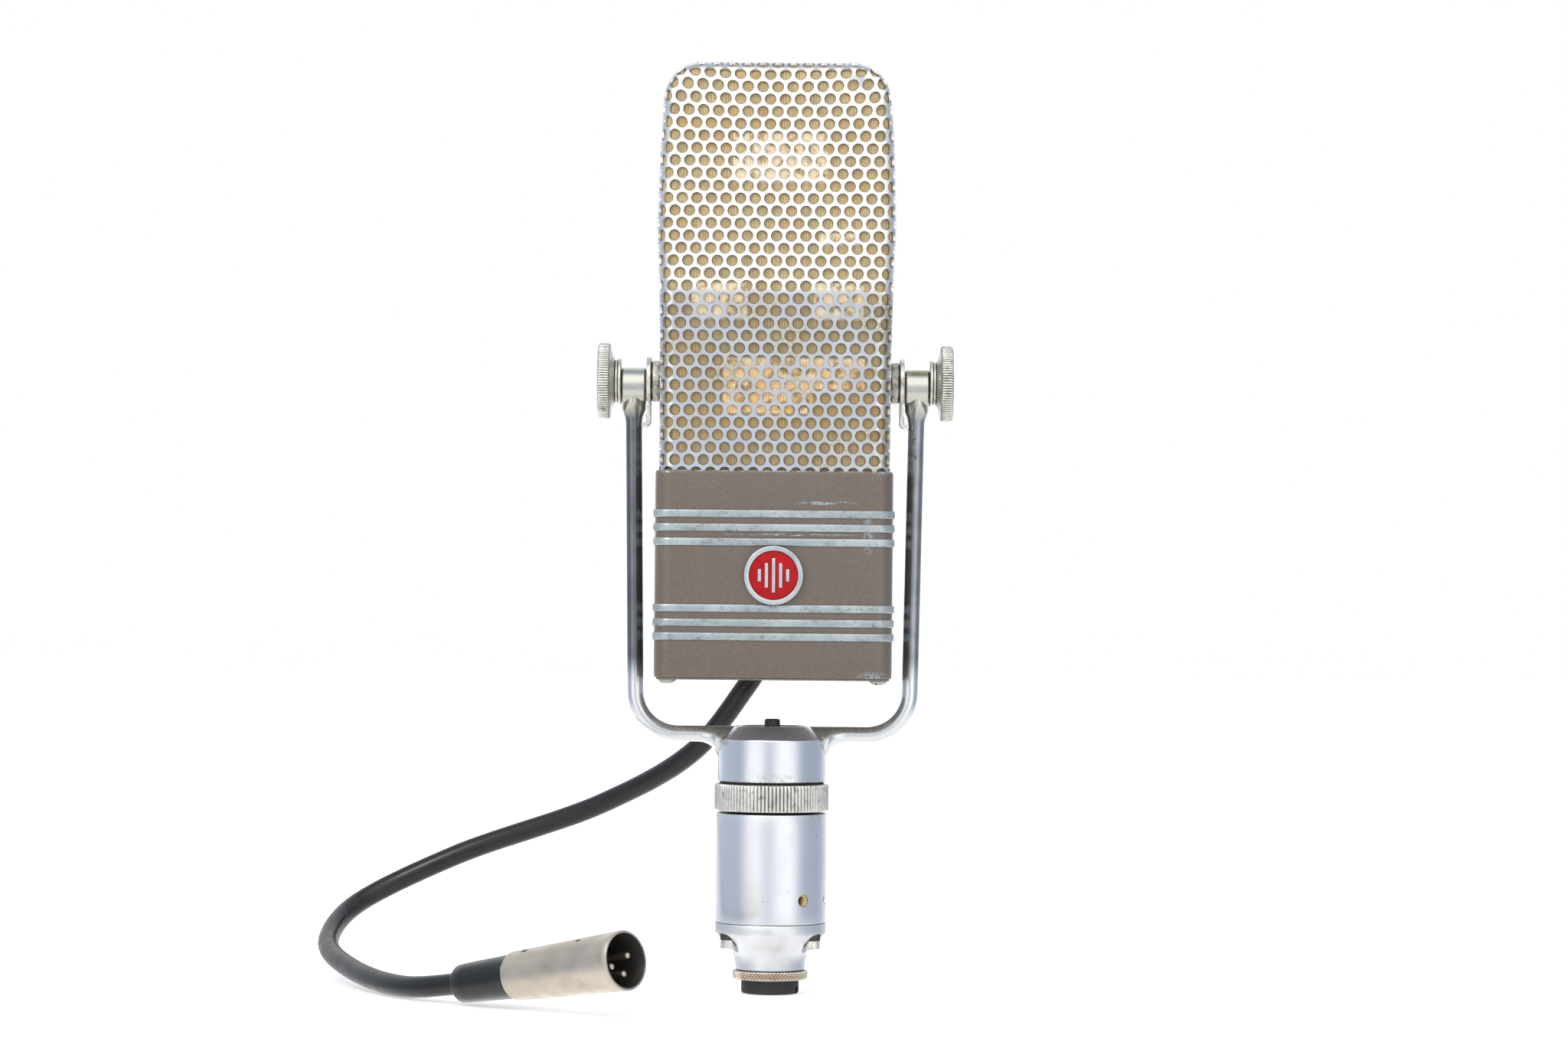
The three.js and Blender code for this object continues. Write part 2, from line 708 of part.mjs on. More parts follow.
function headHalf(outerInset, thickness, front) {
  const shell = cut(headSkin(outerInset, GRILLE_Z[0]), headSkin(outerInset + thickness, GRILLE_Z[0] - 5));
  const depth = front ? [-40, -FIT / 2] : [FIT / 2, 40];
  const half = keepInside(shell, boxBetween([-60, 60], depth, [100, 400]));
  const studBore = alongX(disc(STUD_R + FIT, -70, 70)).translate(0, 0, PIVOT_Z);
  return cut(half, studBore);
}

for (const [name, front] of [['front', true], ['rear', false]]) {
  add(`grille_${name}`, headHalf(0, GRILLE_SHEET, front), perforatedSteel);
  add(`screen_${name}`, headHalf(GRILLE_SHEET + FIT, SCREEN_T, front), brassScreen);
}

// ---- Ribbon motor, magnet and transformer ----

function outlineThrough(points) {
  return new THREE.Shape(points.map(([x, z]) => new THREE.Vector2(x, z)));
}

function polePiece() {
  const innerX = RIBBON_HALF_W + 0.5;
  const outline = outlineThrough([[innerX, 164], [22, 164], [22, 176], [9, 200], [9, 288], [innerX, 288]]);
  return extrudeAcrossY(outline, -MOTOR_HALF_D, MOTOR_HALF_D);
}

function magnet() {
  const half = 26;
  const legW = 9;
  const outline = outlineThrough([
    [-half, 108], [half, 108], [half, 163.5], [half - legW, 163.5],
    [half - legW, 118], [legW - half, 118], [legW - half, 163.5], [-half, 163.5],
  ]);
  return extrudeAcrossY(outline, -9, 9);
}

// The frame that the pole pieces stand in and the pivot studs screw into
function motorFrame() {
  const halfW = 35.3;
  const barW = 4.5;
  const [lowZ, topZ] = [178, 295];
  const outer = boxBetween([-halfW, halfW], [-MOTOR_HALF_D, MOTOR_HALF_D], [lowZ, topZ]);
  const window = boxBetween([barW - halfW, halfW - barW], [-20, 20], [lowZ - 8, topZ - barW]);
  const studBore = alongX(disc(STUD_R + FIT, -70, 70)).translate(0, 0, PIVOT_Z);
  const foot = boxBetween([-halfW, halfW], [-MOTOR_HALF_D - 4, -MOTOR_HALF_D + 1], [lowZ - 1, lowZ + 5]);
  const footWindow = boxBetween([-23, 23], [-MOTOR_HALF_D - 0.5, 20], [lowZ - 8, lowZ + 12]);
  return cut(join(cut(outer, window), foot), studBore, footWindow);
}

function transformerCore() {
  const outer = boxBetween([-14, 14], [-8, 8], [124, 148]);
  const windows = [-1, 1].map((side) => boxBetween(
    side > 0 ? [4.5, 10] : [-10, -4.5],
    [-20, 20],
    [128, 144],
  ));
  return cut(outer, ...windows);
}

function transformerCoil() {
  const outer = boxBetween([-9.6, 9.6], [-12.5, 12.5], [128.4, 143.6]);
  const inner = boxBetween([-4.9, 4.9], [-8.4, 8.4], [100, 160]);
  return cut(outer, inner);
}

function ribbonClamp(z0, z1) {
  const block = boxBetween([-12, 12], [-MOTOR_HALF_D - 2.5, -MOTOR_HALF_D - FIT], [z0, z1]);
  const tongue = boxBetween([-1.9, 1.9], [-MOTOR_HALF_D - 1, -0.6], [z0, z1]);
  return join(block, tongue);
}

add('pole_piece_right', polePiece(), magnetSteel);
add('pole_piece_left', mirroredInX(polePiece()), magnetSteel);
add('magnet', magnet(), magnetSteel);
add('motor_frame', motorFrame(), castAluminium);
add('ribbon', boxBetween([-RIBBON_HALF_W, RIBBON_HALF_W], [-0.15, 0.15], RIBBON_Z), ribbonFoil);
add('ribbon_clamp_top', ribbonClamp(279, 285), brass);
add('ribbon_clamp_bottom', ribbonClamp(169, 175), brass);
add('transformer_core', transformerCore(), magnetSteel);
add('transformer_coil', transformerCoil(), copper);
add('terminal_board', boxBetween([-15, 15], [14, 15.6], [130, 160]), fibre);

// ---- Cable and connector ----

const CABLE_POINTS = [
  [0, CASE_HALF_D - 5, CABLE_EXIT_Z],
  [0, CASE_HALF_D + 3.5, CABLE_EXIT_Z],
  [-1.4, 37.5, 114.5],
  [-3.6, 39.2, 109.5],
  [-9.7, 39.8, 99.7],
  [-26.5, 50, 78.4],
  [-58.7, 72, 58.9],
  [-111.7, 88, 39],
  [-144.9, 82, 22.4],
  [-152, 55, 12.2],
  [-139.7, 10, 5.9],
  [-117, -33, 3.9],
].map((p) => new THREE.Vector3(...p));
const STUB_POINTS = 4; // the first points, up to where the cable leaves the head

function cableCurve(points) {
  return new THREE.CatmullRomCurve3(points, false, 'centripetal');
}

function strainRelief() {
  const wallY = CASE_HALF_D;
  const outerFlangeY = wallY + BAND_PROUD + FIT;
  const relief = turned([
    [0, -outerFlangeY - 3.6],
    [6.4, -outerFlangeY - 3.6],
    [7, -outerFlangeY],
    [5, -outerFlangeY],
    [5, -wallY + CASE_WALL + FIT],
    [7, -wallY + CASE_WALL + FIT],
    [7, -wallY + 2.2],
    [0, -wallY + 2.2],
  ], 20);
  const bore = disc(CABLE_R + 2 * FIT, -wallY - 10, -wallY + 4, 16);
  return towardsFront(cut(relief, bore)).translate(0, 0, CABLE_EXIT_Z);
}

const connector = new THREE.Group();
const connectorAxis = CONNECTOR_MOUTH.clone().sub(CONNECTOR_REAR);
const CONNECTOR_L = connectorAxis.length();
connector.position.copy(CONNECTOR_REAR);
connector.quaternion.setFromUnitVectors(new THREE.Vector3(0, 0, 1), connectorAxis.clone().normalize());
microphone.add(connector);

function connectorShell() {
  return turned([
    [SHELL_REAR_R - 1, BOOT_L + FIT],
    [SHELL_REAR_R, BOOT_L + FIT],
    [SHELL_MOUTH_R, CONNECTOR_L],
    [SHELL_MOUTH_R - SHELL_WALL, CONNECTOR_L],
    [SHELL_MOUTH_R - SHELL_WALL - 0.3, CONNECTOR_L - INSERT_DEPTH - 6],
    [SHELL_REAR_R - 1, CONNECTOR_L - INSERT_DEPTH - 20],
    [SHELL_REAR_R - 1, BOOT_L + FIT],
  ], 24);
}

function connectorBoot() {
  const spigotR = SHELL_REAR_R - 1.5;
  const spigotL = 5;
  return turned([
    [0, 0],
    [6, 0],
    [6.3, 0.6],
    [SHELL_REAR_R - 0.6, BOOT_L],
    [spigotR, BOOT_L],
    [spigotR, BOOT_L + spigotL],
    [0, BOOT_L + spigotL],
  ], 24);
}

function connectorPin(angleDeg) {
  const a = THREE.MathUtils.degToRad(angleDeg);
  const tip = CONNECTOR_L - 2;
  const pin = turned([
    [0, CONNECTOR_L - INSERT_DEPTH + FIT],
    [PIN_R, CONNECTOR_L - INSERT_DEPTH + FIT],
    [PIN_R, tip - 0.7],
    [0.5, tip],
    [0, tip],
  ], 10);
  return pin.translate(PIN_CIRCLE_R * Math.cos(a), PIN_CIRCLE_R * Math.sin(a), 0);
}

function connectorInsert() {
  const face = CONNECTOR_L - INSERT_DEPTH;
  return disc(SHELL_MOUTH_R - SHELL_WALL - 0.6, face - 5, face, 24);
}

const cableEnd = CONNECTOR_REAR.clone().addScaledVector(connectorAxis, -0.012);
const cablePath = cableCurve([...CABLE_POINTS.slice(STUB_POINTS), cableEnd]);

add('strain_relief', strainRelief(), blackRubber);
add('cable_stub', tube(cableCurve(CABLE_POINTS.slice(0, STUB_POINTS)), CABLE_R, 8, 8), blackRubber);
add('cable', tube(cablePath, CABLE_R, 48, 8), blackRubber);
add('connector_boot', connectorBoot(), blackRubber, connector);
add('connector_shell', connectorShell(), connectorNickel, connector);
add('connector_insert', connectorInsert(), blackRubber, connector);
PIN_ANGLES.forEach((angle, i) => {
  add(`connector_pin_${i + 1}`, connectorPin(angle), connectorNickel, connector);
});

export default microphone;
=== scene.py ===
"""Looks of the ribbon microphone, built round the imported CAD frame.

Lengths are written in millimetres and turned into metres by MM. Places and sizes come from the frame's
boxes and from the values below.
"""

import json
import math
from functools import reduce

import bmesh
import bpy
import numpy as np
from mathutils import Matrix, Vector, noise


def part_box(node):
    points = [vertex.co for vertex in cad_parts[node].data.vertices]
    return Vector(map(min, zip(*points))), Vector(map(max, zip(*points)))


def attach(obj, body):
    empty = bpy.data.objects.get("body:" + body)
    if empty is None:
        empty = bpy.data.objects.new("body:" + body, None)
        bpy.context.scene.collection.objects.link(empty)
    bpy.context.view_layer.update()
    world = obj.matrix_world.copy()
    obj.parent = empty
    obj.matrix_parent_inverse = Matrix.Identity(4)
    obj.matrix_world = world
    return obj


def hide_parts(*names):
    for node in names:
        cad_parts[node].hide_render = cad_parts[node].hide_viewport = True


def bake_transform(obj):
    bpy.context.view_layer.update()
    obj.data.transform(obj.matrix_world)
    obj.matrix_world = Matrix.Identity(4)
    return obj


MM = 0.001
INCH = 25.4
SIDES = (("left", -1), ("right", 1))

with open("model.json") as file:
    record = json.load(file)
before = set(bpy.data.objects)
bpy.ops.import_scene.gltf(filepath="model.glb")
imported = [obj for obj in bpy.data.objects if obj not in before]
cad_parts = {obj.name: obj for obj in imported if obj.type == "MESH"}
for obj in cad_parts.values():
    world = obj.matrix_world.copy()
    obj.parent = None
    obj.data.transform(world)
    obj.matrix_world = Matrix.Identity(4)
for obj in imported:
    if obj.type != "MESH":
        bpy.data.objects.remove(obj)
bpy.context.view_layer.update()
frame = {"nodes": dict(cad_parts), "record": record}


def cad_box(node):
    """Lowest and highest corner of a CAD node, in millimetres."""
    low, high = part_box(node)
    return Vector(low) / MM, Vector(high) / MM


# ---- Mesh helpers: a part is a pair of points, in millimetres, and faces ----


def grid_faces(rows, columns, wrap=True):
    """Quads over rows of points, each row a closed loop, or an open one, of the same length."""
    faces = []
    for row in range(rows - 1):
        for column in range(columns if wrap else columns - 1):
            a = row * columns + column
            b = row * columns + (column + 1) % columns
            faces.append((a, b, b + columns, a + columns))
    return faces


def skin(loops, closed=False):
    """A skin over closed loops of points, capped at both ends or run back into its first loop."""
    columns = len(loops[0])
    faces = grid_faces(len(loops), columns)
    last = (len(loops) - 1) * columns
    if closed:
        faces += [(last + i, last + (i + 1) % columns, (i + 1) % columns, i) for i in range(columns)]
    else:
        faces.append(tuple(reversed(range(columns))))
        faces.append(tuple(range(last, last + columns)))
    return np.concatenate([np.asarray(loop, float) for loop in loops]), faces


def turned(profile, segments=96, shape=None, closed=False):
    """A part turned about Z. The profile lists (radius, z) from the bottom up.

    shape(angles, r, z) gives the radii round the part at one level, for knurls, flats and tongues.
    """
    angles = np.arange(segments) * (2 * math.pi / segments)
    loops = []
    for r, z in profile:
        radii = np.full(segments, float(r)) if shape is None else shape(angles, r, z)
        level = np.full(segments, z)
        loops.append(np.stack([radii * np.cos(angles), radii * np.sin(angles), level], 1))
    return skin(loops, closed)


def ring_profile(inner, outer, low, high, edge):
    """The closed profile of a ring with all four edges eased."""
    below = [(inner, low + edge), (inner + edge, low), (outer - edge, low), (outer, low + edge)]
    return below + [(r, low + high - z) for r, z in reversed(below)]


def arc(centre_r, centre_z, radius, start, end, steps=6):
    """Points of an arc in the (radius, z) plane, from one angle to another, in degrees."""
    angles = np.radians(np.linspace(start, end, steps + 1))
    return [(centre_r + radius * math.cos(a), centre_z + radius * math.sin(a)) for a in angles]


def rounded_box(low, high, radius, steps=3):
    """A box between two corners, its edges rounded unless the radius is 0."""
    bm = bmesh.new()
    bmesh.ops.create_cube(bm, size=1)
    bmesh.ops.scale(bm, vec=[high[i] - low[i] for i in range(3)], verts=bm.verts)
    bmesh.ops.translate(bm, vec=[(high[i] + low[i]) / 2 for i in range(3)], verts=bm.verts)
    if radius:
        edges = list(bm.edges)
        bmesh.ops.bevel(bm, geom=edges, offset=radius, segments=steps, profile=0.5, affect="EDGES")
    points = np.array([v.co for v in bm.verts])
    faces = [tuple(v.index for v in f.verts) for f in bm.faces]
    bm.free()
    return points, faces


def joined(*parts):
    points, faces, start = [], [], 0
    for part_points, part_faces in parts:
        points.append(np.asarray(part_points, float))
        faces.extend(tuple(i + start for i in face) for face in part_faces)
        start += len(part_points)
    return np.concatenate(points), faces


def moved(part, offset=(0, 0, 0), turn=None):
    points, faces = part
    if turn is not None:
        points = points @ np.array(turn.to_3x3()).T
    return points + np.array(offset, float), faces


def mirrored(part):
    """The same part on the other side of the middle plane."""
    points, faces = part
    return points * np.array([-1, 1, 1]), [tuple(reversed(face)) for face in faces]


def on_side(part, side):
    return part if side > 0 else mirrored(part)


# A part made about Z, laid along +X, or with its top towards the front or the rear
ALONG_X = Matrix.Rotation(math.pi / 2, 3, "Y")
TO_FRONT = Matrix.Rotation(math.pi / 2, 3, "X")
TO_REAR = Matrix.Rotation(-math.pi / 2, 3, "X")


def new_mesh(name, part):
    points, faces = part
    mesh = bpy.data.meshes.new(name)
    mesh.from_pydata([tuple(p) for p in np.asarray(points) * MM], [], [tuple(f) for f in faces])
    mesh.validate()
    return mesh


def shade(mesh, sharp_deg):
    for polygon in mesh.polygons:
        polygon.use_smooth = True
    mesh.set_sharp_from_angle(angle=math.radians(sharp_deg))


def show(name, part, body, slot, *materials, sharp_deg=32, replaces=(), cuts=()):
    """A shown piece that rides on a body, wears the given materials and stands for CAD nodes; the slot
    argument is not used.
    """
    obj = bpy.data.objects.new(name, new_mesh(name, part))
    bpy.context.scene.collection.objects.link(obj)
    for material in materials:
        obj.data.materials.append(material)
    for cut in cuts:
        cut_out(obj, cut)
    shade(obj.data, sharp_deg)
    if body:
        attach(obj, body)
    if replaces:
        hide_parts(*replaces)
    return obj


def apply_modifier(obj, modifier):
    bpy.context.view_layer.update()
    graph = bpy.context.evaluated_depsgraph_get()
    obj.data = bpy.data.meshes.new_from_object(obj.evaluated_get(graph))
    obj.modifiers.remove(modifier)


def cut_out(obj, part):
    """Cuts a closed part out of a piece."""
    cutter = bpy.data.objects.new("cutter", new_mesh("cutter", part))
    bpy.context.scene.collection.objects.link(cutter)
    modifier = obj.modifiers.new("cut", "BOOLEAN")
    modifier.operation = "DIFFERENCE"
    modifier.solver = "EXACT"
    modifier.object = cutter
    apply_modifier(obj, modifier)
    bpy.data.objects.remove(cutter)


# ---- Material helpers ----


class Shader:
    """A node material, with short calls for the nodes that the finishes below are made of."""

    def __init__(self, name):
        self.material = bpy.data.materials.new(name)
        self.material.use_nodes = True
        self.tree = self.material.node_tree
        self.bsdf = self.tree.nodes["Principled BSDF"]
        self.millimetres = None

    def node(self, kind, **settings):
        made = self.tree.nodes.new(kind)
        for key, value in settings.items():
            setattr(made, key, value)
        return made

    def put(self, socket, value):
        if isinstance(value, bpy.types.NodeSocket):
            self.tree.links.new(value, socket)
        elif socket.type == "RGBA" and isinstance(value, (int, float)):
            socket.default_value = (value, value, value, 1)
        elif socket.type == "RGBA":
            socket.default_value = (*value, 1)
        else:
            socket.default_value = value

    def set(self, **values):
        for key, value in values.items():
            self.put(self.bsdf.inputs[key.replace("_", " ")], value)

    def vector(self, operation, a, b):
        made = self.node("ShaderNodeVectorMath", operation=operation)
        self.put(made.inputs[0], a)
        made.inputs[1].default_value = b
        return made

    def mm(self, stretch=(1, 1, 1)):
        """The object's own coordinates in millimetres."""
        if self.millimetres is None:
            coords = self.node("ShaderNodeTexCoord")
            scaled = self.vector("MULTIPLY", coords.outputs["Object"], (1 / MM,) * 3)
            self.millimetres = scaled.outputs[0]
        if stretch == (1, 1, 1):
            return self.millimetres
        return self.vector("MULTIPLY", self.millimetres, stretch).outputs[0]

    def axis(self, letter):
        split = self.node("ShaderNodeSeparateXYZ")
        self.put(split.inputs[0], self.mm())
        return split.outputs[letter]

    def noise(self, size, detail=4, roughness=0.55, stretch=(1, 1, 1)):
        """Noise with features about `size` millimetres across."""
        made = self.node("ShaderNodeTexNoise")
        self.put(made.inputs["Vector"], self.mm(stretch))
        made.inputs["Scale"].default_value = 1 / size
        made.inputs["Detail"].default_value = detail
        made.inputs["Roughness"].default_value = roughness
        return made.outputs["Fac"]

    def cells(self, size, stretch=(1, 1, 1)):
        made = self.node("ShaderNodeTexVoronoi")
        self.put(made.inputs["Vector"], self.mm(stretch))
        made.inputs["Scale"].default_value = 1 / size
        return made.outputs["Distance"]

    def math(self, operation, a, b=0.0, clamp=False):
        made = self.node("ShaderNodeMath", operation=operation, use_clamp=clamp)
        self.put(made.inputs[0], a)
        self.put(made.inputs[1], b)
        return made.outputs[0]

    def times(self, *values):
        return reduce(lambda a, b: self.math("MULTIPLY", a, b), values)

    def plus(self, *values):
        return reduce(lambda a, b: self.math("ADD", a, b), values)

    def most(self, *values):
        return reduce(lambda a, b: self.math("MAXIMUM", a, b), values)

    def fade(self, value, low, high, out_low=0.0, out_high=1.0):
        """The value mapped smoothly from low..high to out_low..out_high."""
        made = self.node("ShaderNodeMapRange", interpolation_type="SMOOTHSTEP")
        self.put(made.inputs["Value"], value)
        limits = {"From Min": low, "From Max": high, "To Min": out_low, "To Max": out_high}
        for key, number in limits.items():
            self.put(made.inputs[key], number)
        return made.outputs["Result"]

    def mix(self, factor, a, b, blend="MIX"):
        made = self.node("ShaderNodeMix", data_type="RGBA", blend_type=blend)
        self.put(made.inputs[0], factor)
        first, second = [socket for socket in made.inputs if socket.type == "RGBA"]
        self.put(first, a)
        self.put(second, b)
        return [socket for socket in made.outputs if socket.type == "RGBA"][0]

    def bump(self, height, depth_mm, below=None):
        """A normal from a height map of the given depth, laid over another normal."""
        made = self.node("ShaderNodeBump")
        made.inputs["Distance"].default_value = depth_mm * MM
        self.put(made.inputs["Height"], height)
        if below is not None:
            self.put(made.inputs["Normal"], below)
        return made.outputs["Normal"]

    def hollows(self, reach_mm):
        """1 in corners and grooves, 0 on open surfaces."""
        made = self.node("ShaderNodeAmbientOcclusion", samples=4)
        made.inputs["Distance"].default_value = reach_mm * MM
        return self.math("SUBTRACT", 1.0, made.outputs["AO"])

    def spot(self, centre, radii, soft=0.35):
        """1 inside an ellipsoid, in millimetres, fading to 0 at its skin."""
        offset = self.vector("SUBTRACT", self.mm(), centre).outputs[0]
        scaled = self.vector("DIVIDE", offset, radii).outputs[0]
        length = self.vector("LENGTH", scaled, (0, 0, 0)).outputs["Value"]
        return self.fade(length, 1 - soft, 1, 1, 0)

    def spots(self, centres_and_radii, soft=0.35):
        made = 0.0
        for centre, radii in centres_and_radii:
            made = self.most(made, self.spot(centre, radii, soft))
        return made

    def facing_up(self):
        geometry = self.node("ShaderNodeNewGeometry")
        split = self.node("ShaderNodeSeparateXYZ")
        self.put(split.inputs[0], geometry.outputs["Normal"])
        return split.outputs["Z"]


def darker(colour, share):
    return tuple(c * share for c in colour)


# ---- Finishes ----


def worn_metal(name, colour, roughness, grime, grime_share, mark=6.0):
    """Plated or cast metal: uneven polish, fine scratches, grime in the corners and in patches."""
    s = Shader(name)
    cloud = s.noise(mark, 5, 0.6)
    fine = s.noise(0.35, 3, 0.6)
    dirt = s.plus(s.fade(cloud, 0.5, 0.75), s.fade(s.hollows(0.9), 0.1, 0.45, 0, 1.5))
    dirt = s.math("MULTIPLY", dirt, grime_share, clamp=True)
    base = s.mix(s.fade(s.noise(mark * 2.2, 3), 0.3, 0.7), colour, darker(colour, 0.82))
    s.set(Base_Color=s.mix(dirt, base, grime), Metallic=s.fade(dirt, 0, 1, 1, 0.5))
    uneven = s.fade(s.plus(cloud, s.times(fine, 0.3)), 0.35, 1.0, roughness * 0.8, roughness * 1.5)
    s.set(Roughness=s.plus(uneven, s.times(dirt, 0.25)))
    s.set(Normal=s.bump(fine, 0.01, s.bump(cloud, 0.03)))
    return s.material


def yoke_metal():
    """Buffed aluminium casting: bright and cool, black wear marks, olive-brown grime on its ledges, painted
    light that leaves the left arm darker than the right, and a painted highlight on the bends.
    """
    s = Shader("yoke_metal")
    cloud = s.noise(9, 4, 0.55)
    fine = s.noise(0.5, 4, 0.65)
    streaks = s.noise(1.1, 4, 0.6, stretch=(1, 1, 0.12))
    arm = s.mix(s.fade(cloud, 0.35, 0.7), (0.27, 0.28, 0.292), (0.21, 0.218, 0.23))
    # Painted light: the colour is scaled from darker on the left arm to lighter on the right arm.
    arm = s.mix(1.0, arm, s.fade(s.axis("X"), -20, 20, 0.76, 1.4), "MULTIPLY")
    base = s.mix(s.fade(s.axis("Z"), *YOKE_BOSS_FROM), arm, (0.62, 0.615, 0.56))
    # Painted highlight: the bends and the bar below them take a bright, near-white colour.
    base = s.mix(s.fade(s.axis("Z"), *YOKE_BEND_HIGHLIGHT_FROM), base, (0.78, 0.79, 0.8))
    low_bar = s.fade(s.axis("Z"), *YOKE_LEDGES_FROM)
    ledge = s.times(s.fade(s.facing_up(), 0.0, 0.4), low_bar, s.fade(fine, 0.3, 0.6, 0.6, 1))
    corners = s.times(s.fade(s.hollows(3.5), 0.3, 0.75), s.fade(s.noise(2.2, 4), 0.35, 0.6))
    grime = s.most(s.times(ledge, 0.9), s.times(corners, 0.85))
    base = s.mix(grime, base, (0.15, 0.135, 0.095))
    stain = s.times(s.spot(YOKE_STAIN, (6, 12, 4), 0.5), s.fade(fine, 0.35, 0.5))
    base = s.mix(s.times(stain, 0.85), base, (0.3, 0.28, 0.11))
    wear = s.times(s.fade(s.spots(YOKE_WEAR, 0.9), 0.1, 0.5), s.fade(s.noise(0.7, 4, 0.7), 0.49, 0.54))
    base = s.mix(wear, base, (0.012, 0.011, 0.01))
    s.set(Base_Color=base, Metallic=s.fade(s.most(grime, wear), 0, 1, 1, 0.3))
    polish = s.fade(streaks, 0.3, 0.7, 0.16, 0.27)
    s.set(Roughness=s.plus(polish, s.times(grime, 0.3), s.times(wear, 0.3)))
    s.set(Normal=s.bump(fine, 0.012, s.bump(s.noise(5, 3), 0.08, s.bump(wear, -0.03))))
    return s.material


def turned_metal(name, colour, roughness, stains=()):
    """Lathe-turned aluminium: fine rings round the axis, soft smears, dings and a few stains."""
    s = Shader(name)
    rings = s.noise(0.5, 4, 0.7, stretch=(0.02, 0.02, 2.5))
    smear = s.noise(6, 4, 0.6, stretch=(1, 1, 0.45))
    fine = s.noise(0.6, 4, 0.65)
    dings = s.times(s.fade(s.cells(2.4), 0.05, 0.14, 1, 0), s.fade(s.noise(8, 2), 0.57, 0.66))
    base = s.mix(s.fade(smear, 0.35, 0.7), colour, darker(colour, 0.95))
    grime = s.times(s.fade(s.hollows(2.0), 0.35, 0.9), 0.8)
    base = s.mix(grime, base, (0.11, 0.1, 0.08))
    stain = s.times(s.spots(stains, 0.7), s.fade(s.noise(1.6, 4, 0.65), 0.45, 0.6))
    base = s.mix(s.times(stain, 0.6), base, (0.42, 0.39, 0.22))
    s.set(Base_Color=s.mix(dings, base, (0.07, 0.065, 0.06)), Metallic=1.0)
    polish = s.fade(smear, 0.2, 0.8, roughness * 0.9, roughness * 1.15)
    s.set(Roughness=s.plus(polish, s.times(stain, 0.2)))
    s.set(Normal=s.bump(rings, 0.006, s.bump(fine, 0.003, s.bump(dings, -0.08))))
    return s.material


def grille_metal():
    """Plated perforated sheet: bright, a little wavy, with greenish-brown tarnish at some hole rims, and
    painted shade that leaves it darker below the crease.
    """
    s = Shader("grille_metal")
    cloud = s.noise(15, 4, 0.6)
    fine = s.noise(1.0, 4, 0.65)
    low_part = s.fade(s.axis("Z"), CREASE_Z + 4, CREASE_Z - 6, 0.3, 1)
    tarnish = s.times(s.fade(cloud, 0.45, 0.62), s.fade(fine, 0.4, 0.58), low_part)
    duller = s.fade(s.noise(26, 2), 0.35, 0.7)
    base = s.mix(duller, (0.93, 0.94, 0.96), (0.88, 0.89, 0.92))
    # Painted shade: a darker copy of the plating's colour, used below the crease.
    below = s.mix(duller, (0.76, 0.775, 0.805), (0.66, 0.675, 0.71))
    base = s.mix(s.fade(s.axis("Z"), CREASE_Z + 1, CREASE_Z - 3), base, below)
    base = s.mix(s.times(tarnish, 0.8), base, (0.4, 0.36, 0.2))
    s.set(Base_Color=base, Metallic=1.0)
    s.set(Roughness=s.fade(s.plus(cloud, tarnish), 0.3, 1.2, 0.18, 0.42))
    s.set(Normal=s.bump(fine, 0.01, s.bump(s.noise(9, 2), 0.07)))
    return s.material


